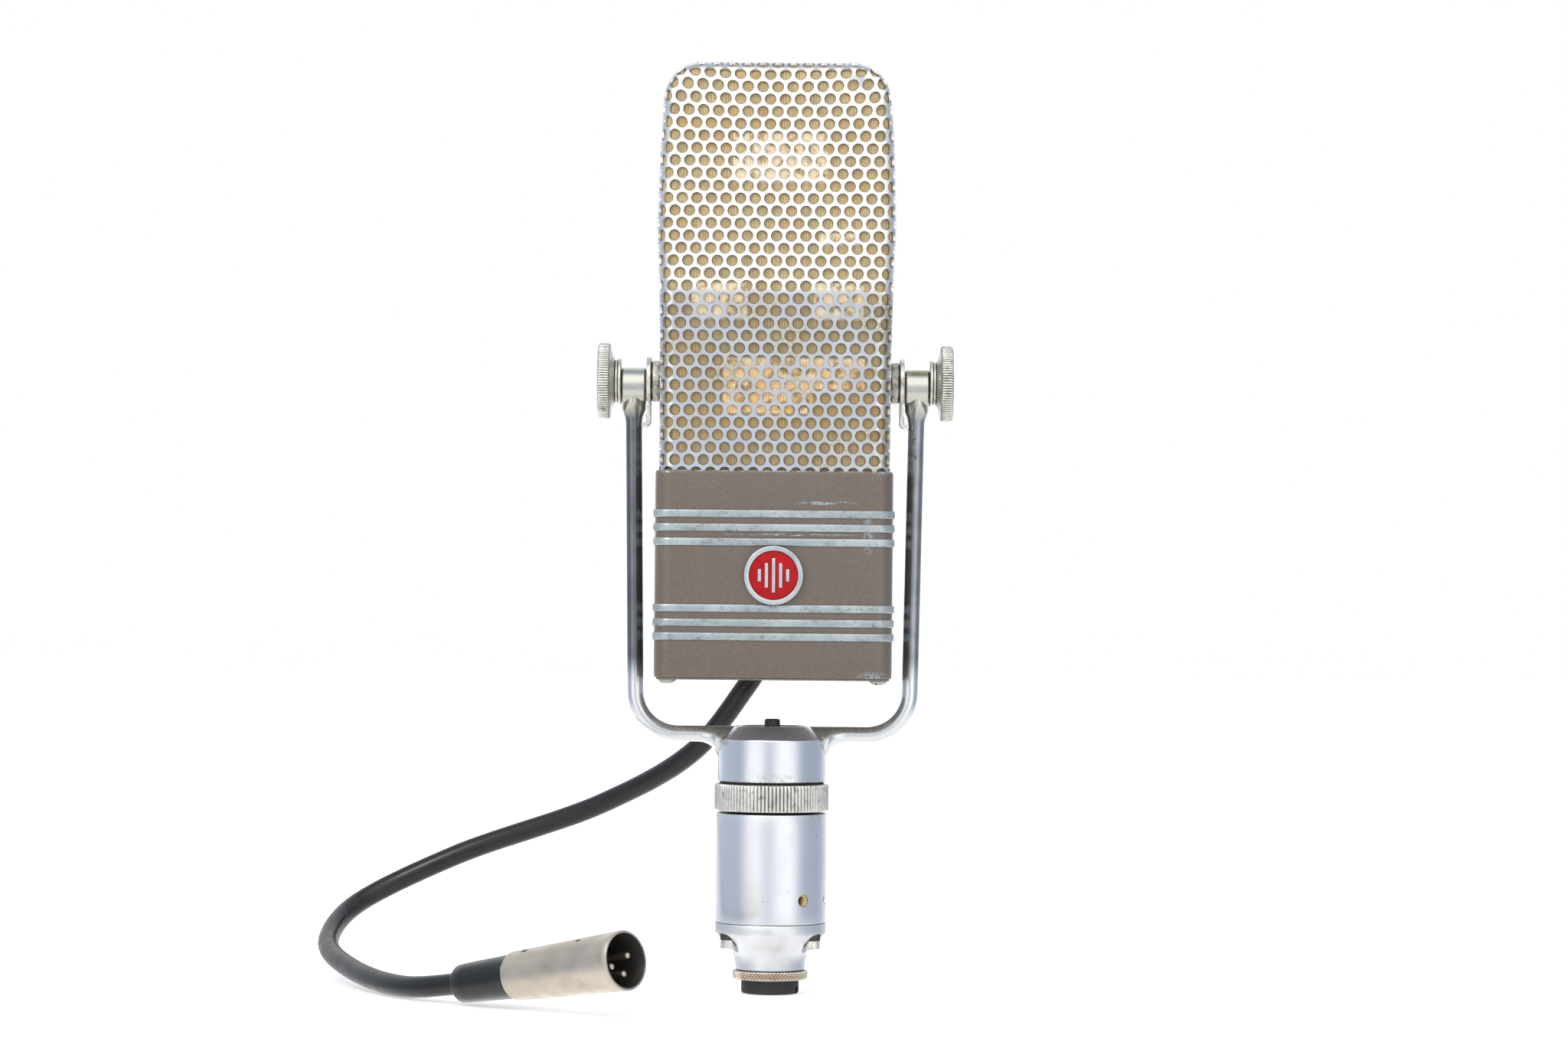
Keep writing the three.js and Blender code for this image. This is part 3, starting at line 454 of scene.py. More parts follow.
def screen_weave():
    """Woven brass screen. Its mesh carries thread coordinates, in millimetres, as a UV map."""
    s = Shader("screen_weave")
    uv = s.node("ShaderNodeUVMap", uv_map="threads")
    split = s.node("ShaderNodeSeparateXYZ")
    s.put(split.inputs[0], uv.outputs[0])
    wander = s.times(s.noise(6, 2), 0.5)
    across = s.plus(split.outputs["X"], wander)
    warp = s.math("ABSOLUTE", s.math("SINE", s.times(across, math.pi / WARP_PITCH)))
    weft = s.math("ABSOLUTE", s.math("SINE", s.times(split.outputs["Y"], math.pi / WEFT_PITCH)))
    thread = s.plus(s.times(warp, 0.78), s.times(weft, 0.26))
    uneven = s.noise(1.2, 3, 0.6, stretch=(1, 1, 0.3))
    cloud = s.noise(13, 3, 0.5)
    tan = s.mix(s.fade(uneven, 0.35, 0.65), (0.66, 0.5, 0.26), (0.49, 0.37, 0.175))
    tan = s.mix(s.fade(cloud, 0.45, 0.7), tan, (0.58, 0.4, 0.18))
    rusty = s.times(s.fade(s.noise(4.5, 4, 0.7), 0.55, 0.66), 0.5)
    tan = s.mix(rusty, tan, (0.42, 0.24, 0.11))
    tan = s.mix(s.fade(s.noise(7, 3, 0.6), 0.4, 0.65, 0, 0.35), tan, (0.3, 0.27, 0.17))
    warm = s.times(s.fade(s.axis("Z"), 214, 196), s.fade(s.axis("Z"), 176, 190), 0.55)
    tan = s.mix(warm, tan, (0.66, 0.42, 0.14))
    base = s.mix(s.fade(thread, 0.2, 0.75), (0.19, 0.14, 0.09), tan)
    # Painted shade: the screen is darker below the crease.
    base = s.mix(s.fade(s.axis("Z"), CREASE_Z + 4, CREASE_Z - 8, 0, 0.28), base, (0.06, 0.06, 0.05))
    # Painted shadow: the screen is darkened where the rims of the sheet's holes stand just in front of it.
    base = s.mix(s.fade(s.hollows(1.0), 0.25, 0.85, 0, 0.75), base, (0.07, 0.055, 0.035))
    lit = 0.0
    for x_range, z_range in LIT_PATCHES:
        edges = []
        for letter, (start, end), soft in (("X", x_range, 0.4), ("Z", z_range, 0.5)):
            edges.append(s.fade(s.axis(letter), start - soft, start + soft))
            edges.append(s.fade(s.axis(letter), end + soft, end - soft))
        inside = s.times(*edges)
        lit = s.most(lit, inside)
    broken = s.times(s.fade(s.noise(3, 3, 0.55), 0.36, 0.52), s.fade(s.axis("Y"), 4, -4))
    lit = s.times(lit, broken, s.fade(thread, 0.2, 0.7, 0.5, 1))
    golden = s.mix(s.fade(s.axis("Z"), 190, 225), (1.0, 0.6, 0.24), (1.0, 0.82, 0.56))
    pale = s.mix(s.fade(s.noise(1.8, 2), 0.5, 0.62), golden, (1.0, 0.93, 0.8))
    s.set(Base_Color=s.mix(s.times(lit, 0.55), base, pale), Metallic=0.15, Roughness=0.5)
    s.set(Emission_Color=pale, Emission_Strength=s.times(lit, 0.1))
    s.set(Normal=s.bump(thread, 0.1))
    return s.material


def case_paint():
    """Grey-brown enamel with fine metallic speckle, chipped and scratched to the metal in places."""
    s = Shader("case_paint")
    speckle = s.noise(0.2, 3, 0.7)
    cloud = s.noise(22, 4, 0.55)
    paint = s.mix(s.fade(speckle, 0.35, 0.7), (0.1, 0.076, 0.058), (0.19, 0.149, 0.118))
    paint = s.mix(s.times(s.fade(cloud, 0.45, 0.75), 0.35), paint, (0.14, 0.115, 0.1))
    dull = s.times(s.fade(s.noise(4, 4, 0.65, stretch=(0.5, 0.5, 1)), 0.55, 0.75), 0.25)
    paint = s.mix(dull, paint, (0.1, 0.085, 0.075))
    ragged = s.noise(0.8, 5, 0.7)
    chips = s.times(s.spots(CASE_CHIPS, 0.8), s.fade(ragged, 0.47, 0.5))
    grain = s.noise(0.5, 5, 0.7, stretch=(0.08, 1, 1.2))
    scratches = s.times(s.spots(CASE_SCRATCHES, 0.5), s.fade(grain, 0.46, 0.52))
    rim = s.times(s.fade(s.axis("Z"), CASE_TOP - 0.45, CASE_TOP - 0.3), s.fade(s.noise(3, 4), 0.4, 0.5))
    bare = s.most(chips, scratches, rim)
    metal = s.mix(s.fade(ragged, 0.4, 0.65), (0.5, 0.58, 0.62), (0.25, 0.25, 0.24))
    s.set(Base_Color=s.mix(bare, paint, metal), Metallic=s.fade(bare, 0, 1, 0.2, 0.7))
    s.set(Roughness=s.fade(cloud, 0.3, 0.7, 0.36, 0.5), Coat_Weight=0.5, Coat_Roughness=0.2)
    s.set(Normal=s.bump(speckle, 0.006, s.bump(s.noise(1.6, 3), 0.02, s.bump(bare, -0.12))))
    return s.material


def band_metal():
    """Bare raised bands: pale worn metal with grey-violet tarnish patches and traces of paint."""
    s = Shader("band_metal")
    patches = s.noise(3.2, 5, 0.62, stretch=(1, 1, 1.6))
    wide = s.noise(9, 3, 0.5)
    base = s.mix(s.fade(wide, 0.4, 0.65), (0.36, 0.41, 0.425), (0.45, 0.505, 0.52))
    tarnish = s.times(s.fade(patches, 0.5, 0.64), s.fade(wide, 0.5, 0.35, 0.35, 1))
    base = s.mix(tarnish, base, (0.22, 0.215, 0.225))
    base = s.mix(s.times(s.fade(s.noise(1.1, 4, 0.7), 0.6, 0.66), 0.7), base, (0.14, 0.115, 0.1))
    s.set(Base_Color=base, Metallic=0.6)
    s.set(Roughness=s.fade(patches, 0.35, 0.7, 0.34, 0.52))
    s.set(Normal=s.bump(patches, 0.03))
    return s.material


def enamel():
    """Fired red enamel, glossy, a little uneven and darker towards its edge, where painted shade falls
    under the rim.
    """
    s = Shader("red_enamel")
    cloud = s.noise(2.4, 3, 0.6)
    base = s.mix(s.fade(cloud, 0.35, 0.7), (0.4, 0.002, 0.005), (0.31, 0.002, 0.004))
    # Painted shade: the enamel is darkened where the rim stands over it.
    s.set(Base_Color=s.mix(s.times(s.hollows(1.2), 0.6), base, (0.16, 0.003, 0.004)))
    s.set(Roughness=0.3, Specular_IOR_Level=0.2, Coat_Weight=0.1, Coat_Roughness=0.08)
    s.set(Normal=s.bump(cloud, 0.03))
    return s.material


def rubber(name, colour, roughness, scuffs, bands=()):
    """Moulded rubber with a fine grain, paler scuffs and rubbed bands."""
    s = Shader(name)
    grain = s.noise(0.3, 3, 0.6)
    rub = s.noise(5, 5, 0.62)
    lines = s.noise(0.7, 5, 0.7, stretch=(1, 0.4, 1))
    pale = tuple(c * 2 + 0.02 for c in colour)
    base = s.mix(s.times(s.fade(rub, 0.5, 0.72), scuffs), colour, pale)
    rubbed = s.times(s.spots(bands, 0.7), s.fade(lines, 0.45, 0.55))
    base = s.mix(s.times(rubbed, 0.2), base, (0.12, 0.115, 0.1))
    s.set(Base_Color=base, Roughness=s.fade(rub, 0.3, 0.75, roughness * 0.85, roughness * 1.25))
    s.set(Normal=s.bump(grain, 0.02, s.bump(rub, 0.06)))
    return s.material


def plain_part(name, colour, roughness, metallic, grain_size=0.8):
    """Machined or cast parts: an even finish with a grain."""
    s = Shader(name)
    grain = s.noise(grain_size, 4, 0.6)
    s.set(Base_Color=s.mix(s.fade(grain, 0.35, 0.7), colour, darker(colour, 0.65)), Metallic=metallic)
    s.set(Roughness=s.fade(grain, 0.3, 0.7, roughness * 0.85, min(1.0, roughness * 1.2)))
    s.set(Normal=s.bump(grain, 0.04))
    return s.material


# ---- Sizes that the pieces and their wear share ----

PIVOT_LOW, PIVOT_HIGH = cad_box("pivot_stud_right")
PIVOT_Z = (PIVOT_LOW.z + PIVOT_HIGH.z) / 2
STUD_R = (PIVOT_HIGH.z - PIVOT_LOW.z) / 2
BORE_R = STUD_R + 0.3

GRILLE_LOW, GRILLE_HIGH = cad_box("grille_front")
GRILLE_TOP = GRILLE_HIGH.z
GRILLE_FACE_Y = GRILLE_LOW.y
GRILLE_TOP_FACE_Y = -18.0
SHEET = 0.9
EDGE_R = 5.0
TOP_CORNER_R = 12.5
CREASE_Z = 231.0
FACE_TILT = math.atan2(GRILLE_TOP_FACE_Y - GRILLE_FACE_Y, GRILLE_TOP - CREASE_Z)
BELLY_Z = 249.0
BELLY_HALF_W = 39.2
WAIST_HALF_W = 37.6
WARP_PITCH = 0.5
WEFT_PITCH = 0.5
# Where light comes through from behind, between the parts of the motor: x and z ranges
LIT_PATCHES = (
    ((-14.5, 16.5), (266.5, 283)),
    ((-27.5, -9.5), (221.5, 233.5)),
    ((12.5, 28.5), (221.5, 233.5)),
    ((14, 27), (246, 250)),
    ((-17, 29), (199, 209)),
    ((-17, 12), (191, 199)),
)

CASE_LOW, CASE_HIGH = cad_box("lower_case")
CASE_TOP = CASE_HIGH.z
BAND_PROUD = 0.6
CASE_HALF_W = CASE_HIGH.x - BAND_PROUD
CASE_HALF_D = CASE_HIGH.y - BAND_PROUD
CASE_CORNER_R = 5.5
CASE_WALL = 0.8
BAND_HALF_H = 1.35
BAND_CENTRES = (118.1, 122.6, 127.3, 148.9, 153.6, 158.1)
CASE_CHIPS = [
    ((CASE_HALF_W - 4, -CASE_HALF_D, CASE_TOP), (4.5, 4, 1.6)),
    ((3 - CASE_HALF_W, -CASE_HALF_D, CASE_TOP), (4, 4, 1.4)),
    ((CASE_HALF_W - 6, -CASE_HALF_D, CASE_LOW.z + 0.6), (6.5, 4, 2.4)),
    ((CASE_HALF_W - 8, -CASE_HALF_D, 152), (2.4, 3, 9)),
    ((CASE_HALF_W, CASE_HALF_D, CASE_TOP), (5, 5, 1.8)),
    ((-CASE_HALF_W, CASE_HALF_D, CASE_LOW.z), (6, 6, 2.5)),
]
CASE_SCRATCHES = [
    ((17, -CASE_HALF_D, 161.8), (11, 2, 0.75)),
    ((5, -CASE_HALF_D, 151.4), (24, 2, 0.45)),
    ((12, CASE_HALF_D, 140), (9, 2, 0.6)),
]

# Heights between which the yoke's arms turn into bosses above, bends with a painted highlight below, and
# soiled ledges
YOKE_BOSS_FROM = (PIVOT_Z - 13, PIVOT_Z - 7)
YOKE_BEND_HIGHLIGHT_FROM = (112, 102)
YOKE_LEDGES_FROM = (92, 87.5)
YOKE_STAIN = (BELLY_HALF_W + 8, -2, PIVOT_Z + 5)
YOKE_WEAR = [
    ((46, -2.5, 183.6), (1.1, 1.6, 3.2)),
    ((46.6, -2.5, 178), (0.7, 1.4, 1.5)),
    ((45.9, -2.5, 169.8), (0.7, 1.4, 1.0)),
]
HUB_STAINS = [((1, -17.9, 71.6), (9, 4, 2)), ((17, -6, 83), (5, 6, 3)), ((-16, -8, 84), (4, 6, 3))]
SLEEVE_STAINS = [((15, -11, 58.5), (5, 5, 1.2)), ((-8, 16, 27), (8, 4, 2))]
# The outside of the cable's widest turn
CABLE_RUBBED = [((-146, 74, 22), (10, 12, 8))]

NICKEL = worn_metal("nickel", (0.92, 0.91, 0.86), 0.34, (0.15, 0.14, 0.09), 0.55, 2.2)
RUSTED_NICKEL = worn_metal("rusted_nickel", (0.9, 0.89, 0.86), 0.34, (0.36, 0.21, 0.08), 0.7, 4.0)
DULL_NICKEL = worn_metal("dull_nickel", (0.58, 0.56, 0.5), 0.4, (0.2, 0.16, 0.1), 0.6, 3.5)
YOKE_METAL = yoke_metal()
TURNED = turned_metal("turned_aluminium", (0.84, 0.85, 0.885), 0.32, SLEEVE_STAINS)
HUB_METAL = turned_metal("hub_metal", (0.8, 0.82, 0.86), 0.25, HUB_STAINS)
CAST_METAL = worn_metal("cast_aluminium", (0.88, 0.89, 0.91), 0.38, (0.3, 0.28, 0.22), 0.12, 9.0)
GRILLE_METAL = grille_metal()
WEAVE = screen_weave()
PAINT = case_paint()
BAND = band_metal()
BADGE_METAL = worn_metal("badge_metal", (0.66, 0.7, 0.72), 0.3, (0.25, 0.25, 0.25), 0.3, 3.0)
ENAMEL = enamel()
CABLE_RUBBER = rubber("cable_rubber", (0.006, 0.006, 0.006), 0.32, 0.15, CABLE_RUBBED)
PLUG_RUBBER = rubber("plug_rubber", (0.016, 0.016, 0.017), 0.6, 0.3)
BOOT_RUBBER = rubber("boot_rubber", (0.004, 0.004, 0.004), 0.26, 0.1)
SHELL_NICKEL = worn_metal("connector_nickel", (0.71, 0.63, 0.53), 0.38, (0.42, 0.34, 0.24), 0.14, 7.0)
DARK_STEEL = plain_part("dark_steel", (0.1, 0.095, 0.085), 0.5, 0.8)
MAGNET_STEEL = plain_part("magnet_steel", (0.09, 0.09, 0.095), 0.6, 0.6)
RIBBON_FOIL = plain_part("ribbon_foil", (0.8, 0.81, 0.83), 0.25, 1.0)
BRASS = plain_part("brass_part", (0.62, 0.5, 0.28), 0.35, 1.0)
COPPER = plain_part("copper_coil", (0.35, 0.13, 0.05), 0.45, 0.7)
FIBRE = plain_part("fibre", (0.03, 0.018, 0.012), 0.8, 0.0)
PLATE_PAINT = plain_part("plate_paint", (0.22, 0.21, 0.2), 0.5, 0.2)

# ---- Head: perforated grille and woven screens ----

HOLE_PITCH = 3 / 16 * INCH
ROW_PITCH = HOLE_PITCH * math.sqrt(3) / 2
HOLE_R = 1.9
CELL_SIDE_STEPS = 3
FIRST_ROW_Z = 175.6
# The sheet is stretched a little unevenly: rows close up below the crease and open above it
ROW_STRETCH_LOW = 0.9835
ROW_STRETCH_HIGH = 1.0065
HOLE_ROWS = range(-4, 42)
HOLE_COLUMNS = range(-16, 17)
DENT_X, DENT_Z = 26, 298
# The front half stops this far short of the middle plane, where the two halves meet
SEAM_GAP = 0.15
# The sheet stays plain this near the seam, and beyond this reach round a top corner
PLAIN_SEAM = 1.4
PLAIN_CORNER = 6.5


def grille_half_width(z):
    bulge = BELLY_HALF_W - WAIST_HALF_W
    above = z - BELLY_Z
    waist = WAIST_HALF_W + bulge * np.exp(np.minimum(above, 0) / 22)
    crown = BELLY_HALF_W - bulge * (np.maximum(above, 0) / 46) ** 2
    return np.where(above < 0, waist, crown)


def hole_spread(v):
    """The spacing of the holes across the sheet, as a share of that on flat sheet, at a height along it."""
    rise = 0.976 + 0.0245 * np.clip((v - 176) / 87, 0, 1)
    crease = 0.026 * np.exp(-(((v - CREASE_Z) / 15) ** 2))
    return rise + crease + 0.013 * (np.maximum(v - 263, 0) / 23) ** 2


def stretched_rows(flat):
    """Height along the bent sheet for one on the flat sheet. The rows sag slightly near the top."""
    rise = (CREASE_Z - FIRST_ROW_Z) / ROW_STRETCH_LOW
    w = flat[:, 1]
    v = FIRST_ROW_Z + np.minimum(w, rise) * ROW_STRETCH_LOW
    v += np.maximum(w - rise, 0) * ROW_STRETCH_HIGH
    sag = 1.5 * np.exp(np.minimum(v - GRILLE_TOP + 6, 0) / 12)
    return v + sag * np.minimum((flat[:, 0] / 30) ** 2, 1.6)


def wrap_sheet(flat):
    """Bends flat sheet, given as (u, v) in millimetres, over the front of the head and round its edges.

    Gives the points, how far each lies round the edge, and whether it lies in a top corner.
    """
    v = stretched_rows(flat)
    u = flat[:, 0] * hole_spread(v)
    v_top = CREASE_Z + (GRILLE_TOP - EDGE_R - CREASE_Z) / math.cos(FACE_TILT)
    corner_r = TOP_CORNER_R - EDGE_R
    side, au = np.sign(u), np.abs(u)
    flat_half = grille_half_width(np.minimum(v, v_top - corner_r)) - EDGE_R
    cu, cv = flat_half - corner_r, v_top - corner_r
    du, dv = au - cu, v - cv
    length = np.maximum(np.hypot(du, dv), 1e-9)
    cornered = (du > 0) & (dv > 0) & (length > corner_r)
    near_u = np.where(cornered, cu + du / length * corner_r, np.minimum(au, flat_half))
    near_v = np.where(cornered, cv + dv / length * corner_r, np.minimum(v, v_top))
    nu, nv = au - near_u, v - near_v
    distance = np.hypot(nu, nv)
    turn = np.minimum(distance / EDGE_R, math.pi / 2)
    out = EDGE_R * np.sin(turn) / np.maximum(distance, 1e-9)
    back = EDGE_R * (1 - np.cos(turn)) + np.maximum(0, distance - EDGE_R * math.pi / 2)
    along = near_v + nv * out
    above = np.maximum(along - CREASE_Z, 0)
    x = side * (near_u + nu * out)
    y = GRILLE_FACE_Y + above * math.sin(FACE_TILT) + back
    z = np.minimum(along, CREASE_Z) + above * math.cos(FACE_TILT)
    return np.stack([x, y, z], 1), distance, cornered


def dented(points):
    """Shallow waves over the sheet, with one dent near the top right."""
    moved_points = points.copy()
    for i, (x, _, z) in enumerate(points):
        wave = noise.noise(Vector((x / 15, z / 15, 3.1)))
        wave += 0.5 * noise.noise(Vector((x / 6, z / 6, 9.4)))
        ding = math.exp(-(((x - DENT_X) / 5) ** 2) - ((z - DENT_Z) / 4) ** 2)
        moved_points[i, 1] += 0.08 * wave + 0.8 * ding
    return moved_points


def slice_off(bm, point, normal):
    """Removes what lies beyond a plane, given in millimetres."""
    geom = [*bm.verts, *bm.edges, *bm.faces]
    bmesh.ops.bisect_plane(bm, geom=geom, plane_co=Vector(point) * MM, plane_no=normal, clear_outer=True)


def finish_head_half(obj, rear, inset, thickness):
    """Trims a bent sheet, faces it outwards, sets it in by `inset` and gives it thickness."""
    bm = bmesh.new()
    bm.from_mesh(obj.data)
    bmesh.ops.remove_doubles(bm, verts=bm.verts, dist=0.02 * MM)
    slice_off(bm, (0, -SEAM_GAP - inset * 0.2, 0), (0, 1, 0))
    slice_off(bm, (0, 0, GRILLE_LOW.z + 0.2), (0, 0, -1))
    bmesh.ops.recalc_face_normals(bm, faces=bm.faces)
    foremost = min(bm.faces, key=lambda f: f.calc_center_median().y)
    if foremost.normal.y > 0:
        bmesh.ops.reverse_faces(bm, faces=bm.faces)
    bm.normal_update()
    for vertex, normal in [(v, v.normal.copy()) for v in bm.verts]:
        vertex.co -= normal * inset * MM
    if rear:
        half_turn = Matrix.Rotation(math.pi, 3, "Z")
        bmesh.ops.rotate(bm, verts=bm.verts, cent=(0, 0, 0), matrix=half_turn)
    bm.to_mesh(obj.data)
    bm.free()
    solidify = obj.modifiers.new("thickness", "SOLIDIFY")
    solidify.thickness = thickness * MM
    solidify.offset = -1
    apply_modifier(obj, solidify)
    shade(obj.data, 50)


def hex_cell():
    """Outline of one cell of the sheet, and the hole inside it with as many points."""
    corner_r = HOLE_PITCH / math.sqrt(3)
    turns = np.radians(np.arange(0, 360, 60))
    corners = [corner_r * np.array([math.sin(a), math.cos(a)]) for a in turns]
    rim = []
    for i in range(6):
        for step in range(CELL_SIDE_STEPS):
            t = step / CELL_SIDE_STEPS
            rim.append(corners[i] * (1 - t) + corners[(i + 1) % 6] * t)
    rim = np.array(rim)
    return rim, rim / np.linalg.norm(rim, axis=1)[:, None] * HOLE_R


def grille_half(rear):
    """One half of the perforated cover, as a sheet of six-sided cells, each with its round hole."""
    rim, hole = hex_cell()
    count = len(rim)
    points, faces, start = [], [], 0
    for row in HOLE_ROWS:
        for column in HOLE_COLUMNS:
            centre = np.array([(column + 0.5 * (row % 2)) * HOLE_PITCH, row * ROW_PITCH])
            placed, distance, cornered = wrap_sheet(centre[None, :])
            if placed[0, 1] > HOLE_PITCH:
                continue
            by_seam = placed[0, 1] > -HOLE_R - PLAIN_SEAM
            in_corner = cornered[0] and distance[0] > PLAIN_CORNER
            if by_seam or in_corner:
                points.append(np.concatenate([rim, np.zeros((1, 2))]) + centre)
                faces.extend((start + k, start + count, start + (k + 1) % count) for k in range(count))
                start += count + 1
            else:
                points.append(np.concatenate([rim, hole]) + centre)
                for k in range(count):
                    n = (k + 1) % count
                    faces.append((start + k, start + count + k, start + count + n, start + n))
                start += 2 * count
    part = (dented(wrap_sheet(np.concatenate(points))[0]), faces)
    end = "rear" if rear else "front"
    name, node = f"perforated_cover_{end}", f"grille_{end}"
    obj = show(name, part, "head", "perforated_grille", GRILLE_METAL, replaces=[node])
    finish_head_half(obj, rear, 0, SHEET)


def screen_half(rear):
    """The woven screen just inside one half of the cover."""
    step = 1.6
    us = np.arange(-64, 64 + step, step)
    ws = np.arange(-12, 160, step)
    flat = np.array([(u, w) for w in ws for u in us])
    end = "rear" if rear else "front"
    part = (dented(wrap_sheet(flat)[0]), grid_faces(len(ws), len(us), wrap=False))
    node = f"screen_{end}"
    obj = show(f"woven_screen_{end}", part, "head", "woven_screen", WEAVE, replaces=[node])
    uv = obj.data.uv_layers.new(name="threads")
    for loop in obj.data.loops:
        uv.data[loop.index].uv = flat[loop.vertex_index]
    finish_head_half(obj, rear, SHEET + 0.2, 0.3)


for rear in (False, True):
    grille_half(rear)
    screen_half(rear)

# ---- Head: lower case, base plate and emblem ----


def rounded_loop(half_w, half_d, radius, z, corner_steps=10, side_steps=8):
    """A rounded rectangle at one height, going round counter-clockwise."""
    ends = []
    for sx, sy, start in ((1, 1, 0), (-1, 1, 90), (-1, -1, 180), (1, -1, 270)):
        for step in range(corner_steps + 1):
            a = math.radians(start + 90 * step / corner_steps)
            x = sx * (half_w - radius) + radius * math.cos(a)
            y = sy * (half_d - radius) + radius * math.sin(a)
            ends.append(np.array([x, y, z]))
    loop = []
    for i, point in enumerate(ends):
        loop.append(point)
        if i % (corner_steps + 1) == corner_steps:
            following = ends[(i + 1) % len(ends)]
            loop += [point + (following - point) * step / side_steps for step in range(1, side_steps)]
    return loop


def case_loop(z, outward, inset=0):
    grown = outward - inset
    return rounded_loop(CASE_HALF_W + grown, CASE_HALF_D + grown, CASE_CORNER_R + grown, z)


def lower_case():
    band = [(-1.0, 0), (-0.93, 0.3), (-0.75, 0.52), (-0.5, BAND_PROUD)]
    band += [(-share, proud) for share, proud in reversed(band)]
    levels = [(CASE_LOW.z, -0.5), (CASE_LOW.z + 0.2, -0.15), (CASE_LOW.z + 0.6, 0)]
    for centre in BAND_CENTRES:
        levels += [(centre + share * BAND_HALF_H, proud) for share, proud in band]
    levels += [(CASE_TOP - 1.1, 0), (CASE_TOP - 0.55, -0.1), (CASE_TOP - 0.15, -0.32), (CASE_TOP, -0.6)]
    loops = [case_loop(z, proud) for z, proud in levels]
    loops += [case_loop(z, 0, CASE_WALL) for z in (CASE_TOP, CASE_LOW.z)]
    part = skin(loops, closed=True)
    node = "lower_case"
    obj = show("painted_case", part, "head", "case_paint", PAINT, BAND, sharp_deg=40, replaces=[node])
    corner = Vector((CASE_HALF_W - CASE_CORNER_R, CASE_HALF_D - CASE_CORNER_R))
    for polygon in obj.data.polygons:
        centre = polygon.center / MM
        reach = Vector((max(0, abs(centre.x) - corner.x), max(0, abs(centre.y) - corner.y)))
        on_band = any(abs(centre.z - c) < BAND_HALF_H * 0.9 for c in BAND_CENTRES)
        if on_band and reach.length > CASE_CORNER_R + 0.25:
            polygon.material_index = 1


def base_plate():
    low, high = cad_box("base_plate")
    half = (high.x, high.y, CASE_CORNER_R - 0.7)
    loops = [
        rounded_loop(half[0] - eased, half[1] - eased, half[2] - eased, z)
        for z, eased in ((low.z, 0.2), (low.z + 0.15, 0), (high.z - 0.1, 0), (high.z, 0.1))
    ]
    show("bottom_plate", skin(loops), "head", "dark_steel", PLATE_PAINT, replaces=["base_plate"])
    for i in range(1, 5):
        low, high = cad_box(f"plate_screw_{i}")
        head_r, dome = (high.x - low.x) / 2, 1.3
        seat = low.z + dome
        profile = [(0.02, low.z)]
        for a in np.radians(np.arange(10, 91, 10)):
            profile.append((head_r * math.sin(a), seat - dome * math.cos(a)))
        profile += [(head_r - 0.1, seat + 0.1), (1.4, seat + 0.1), (1.4, high.z)]
        centre = ((low.x + high.x) / 2, (low.y + high.y) / 2, 0)
        slot = rounded_box((-0.4, -head_r - 1, low.z - 1), (0.4, head_r + 1, low.z + 0.7), 0)
        cut = moved(slot, centre, Matrix.Rotation(0.7 * i, 3, "Z"))
        piece = moved(turned(profile, 32), centre)
        node = f"plate_screw_{i}"
        show(f"case_screw_{i}", piece, "head", "nickel", DULL_NICKEL, replaces=[node], cuts=[cut])


def emblem():
    low, high = cad_box("emblem_badge")
    z = (low.z + high.z) / 2
    rim_r = (high.x - low.x) / 2
    face_r = rim_r - 1.6
    rim = [(1.3, -2.3), (1.3, 0.35), (face_r + 0.6, 0.35), (rim_r - 0.15, 0.7)]
    rim += [(rim_r, 0.85), (rim_r, 1.7)] + arc(rim_r - 0.3, 1.7, 0.3, 15, 90, 4)
    rim += [(face_r + 0.2, 2.0), (face_r + 0.05, 1.94), (face_r, 1.8), (face_r, 0.95)]
    parts = [turned([(0.05, -2.3)] + rim + [(0.05, 0.95)], 96)]
    for i, height in enumerate((4, 8, 11.2, 8, 4)):
        x = (i - 2) * 2.3
        parts.append(rounded_box((x - 0.55, -height / 2, 0.8), (x + 0.55, height / 2, 1.78), 0.16))
    place = {"offset": (0, -CASE_HALF_D, z), "turn": TO_FRONT}
    badge = moved(joined(*parts), **place)
    show("badge", badge, "head", "yoke_metal", BADGE_METAL, replaces=["emblem_badge"])
    # The enamel stops just short of the rim
    fill_r = face_r - 0.06
    fill = [(0.05, 0.98), (fill_r, 0.98), (fill_r, 1.42), (face_r - 0.35, 1.5), (0.05, 1.52)]
    part = moved(turned(fill, 96), **place)
    show("badge_enamel", part, "head", "red_enamel", ENAMEL, replaces=["emblem_enamel"])


lower_case()
base_plate()
emblem()

# ---- Yoke ----

HUB_LOW = cad_box("yoke")[0].z
HUB_R = 17.9
HUB_TOP = 88.4
ROD_R = 2.65
BAR_Z = 85.6
BEND_R = 14.3
ARM_FOOT_X = 45.5
ARM_TOP_X = 47.0
BOSS_R = 6.3
BOSS_Z = PIVOT_Z - 1.8
BOSS_X = (43.0, 51.0)


def fillet(height, radius):
    """How far a round fillet stands out at a height above the surface it runs into."""
    rest = min(radius, max(0.0, radius - height))
    return radius - math.sqrt(radius * radius - rest * rest)


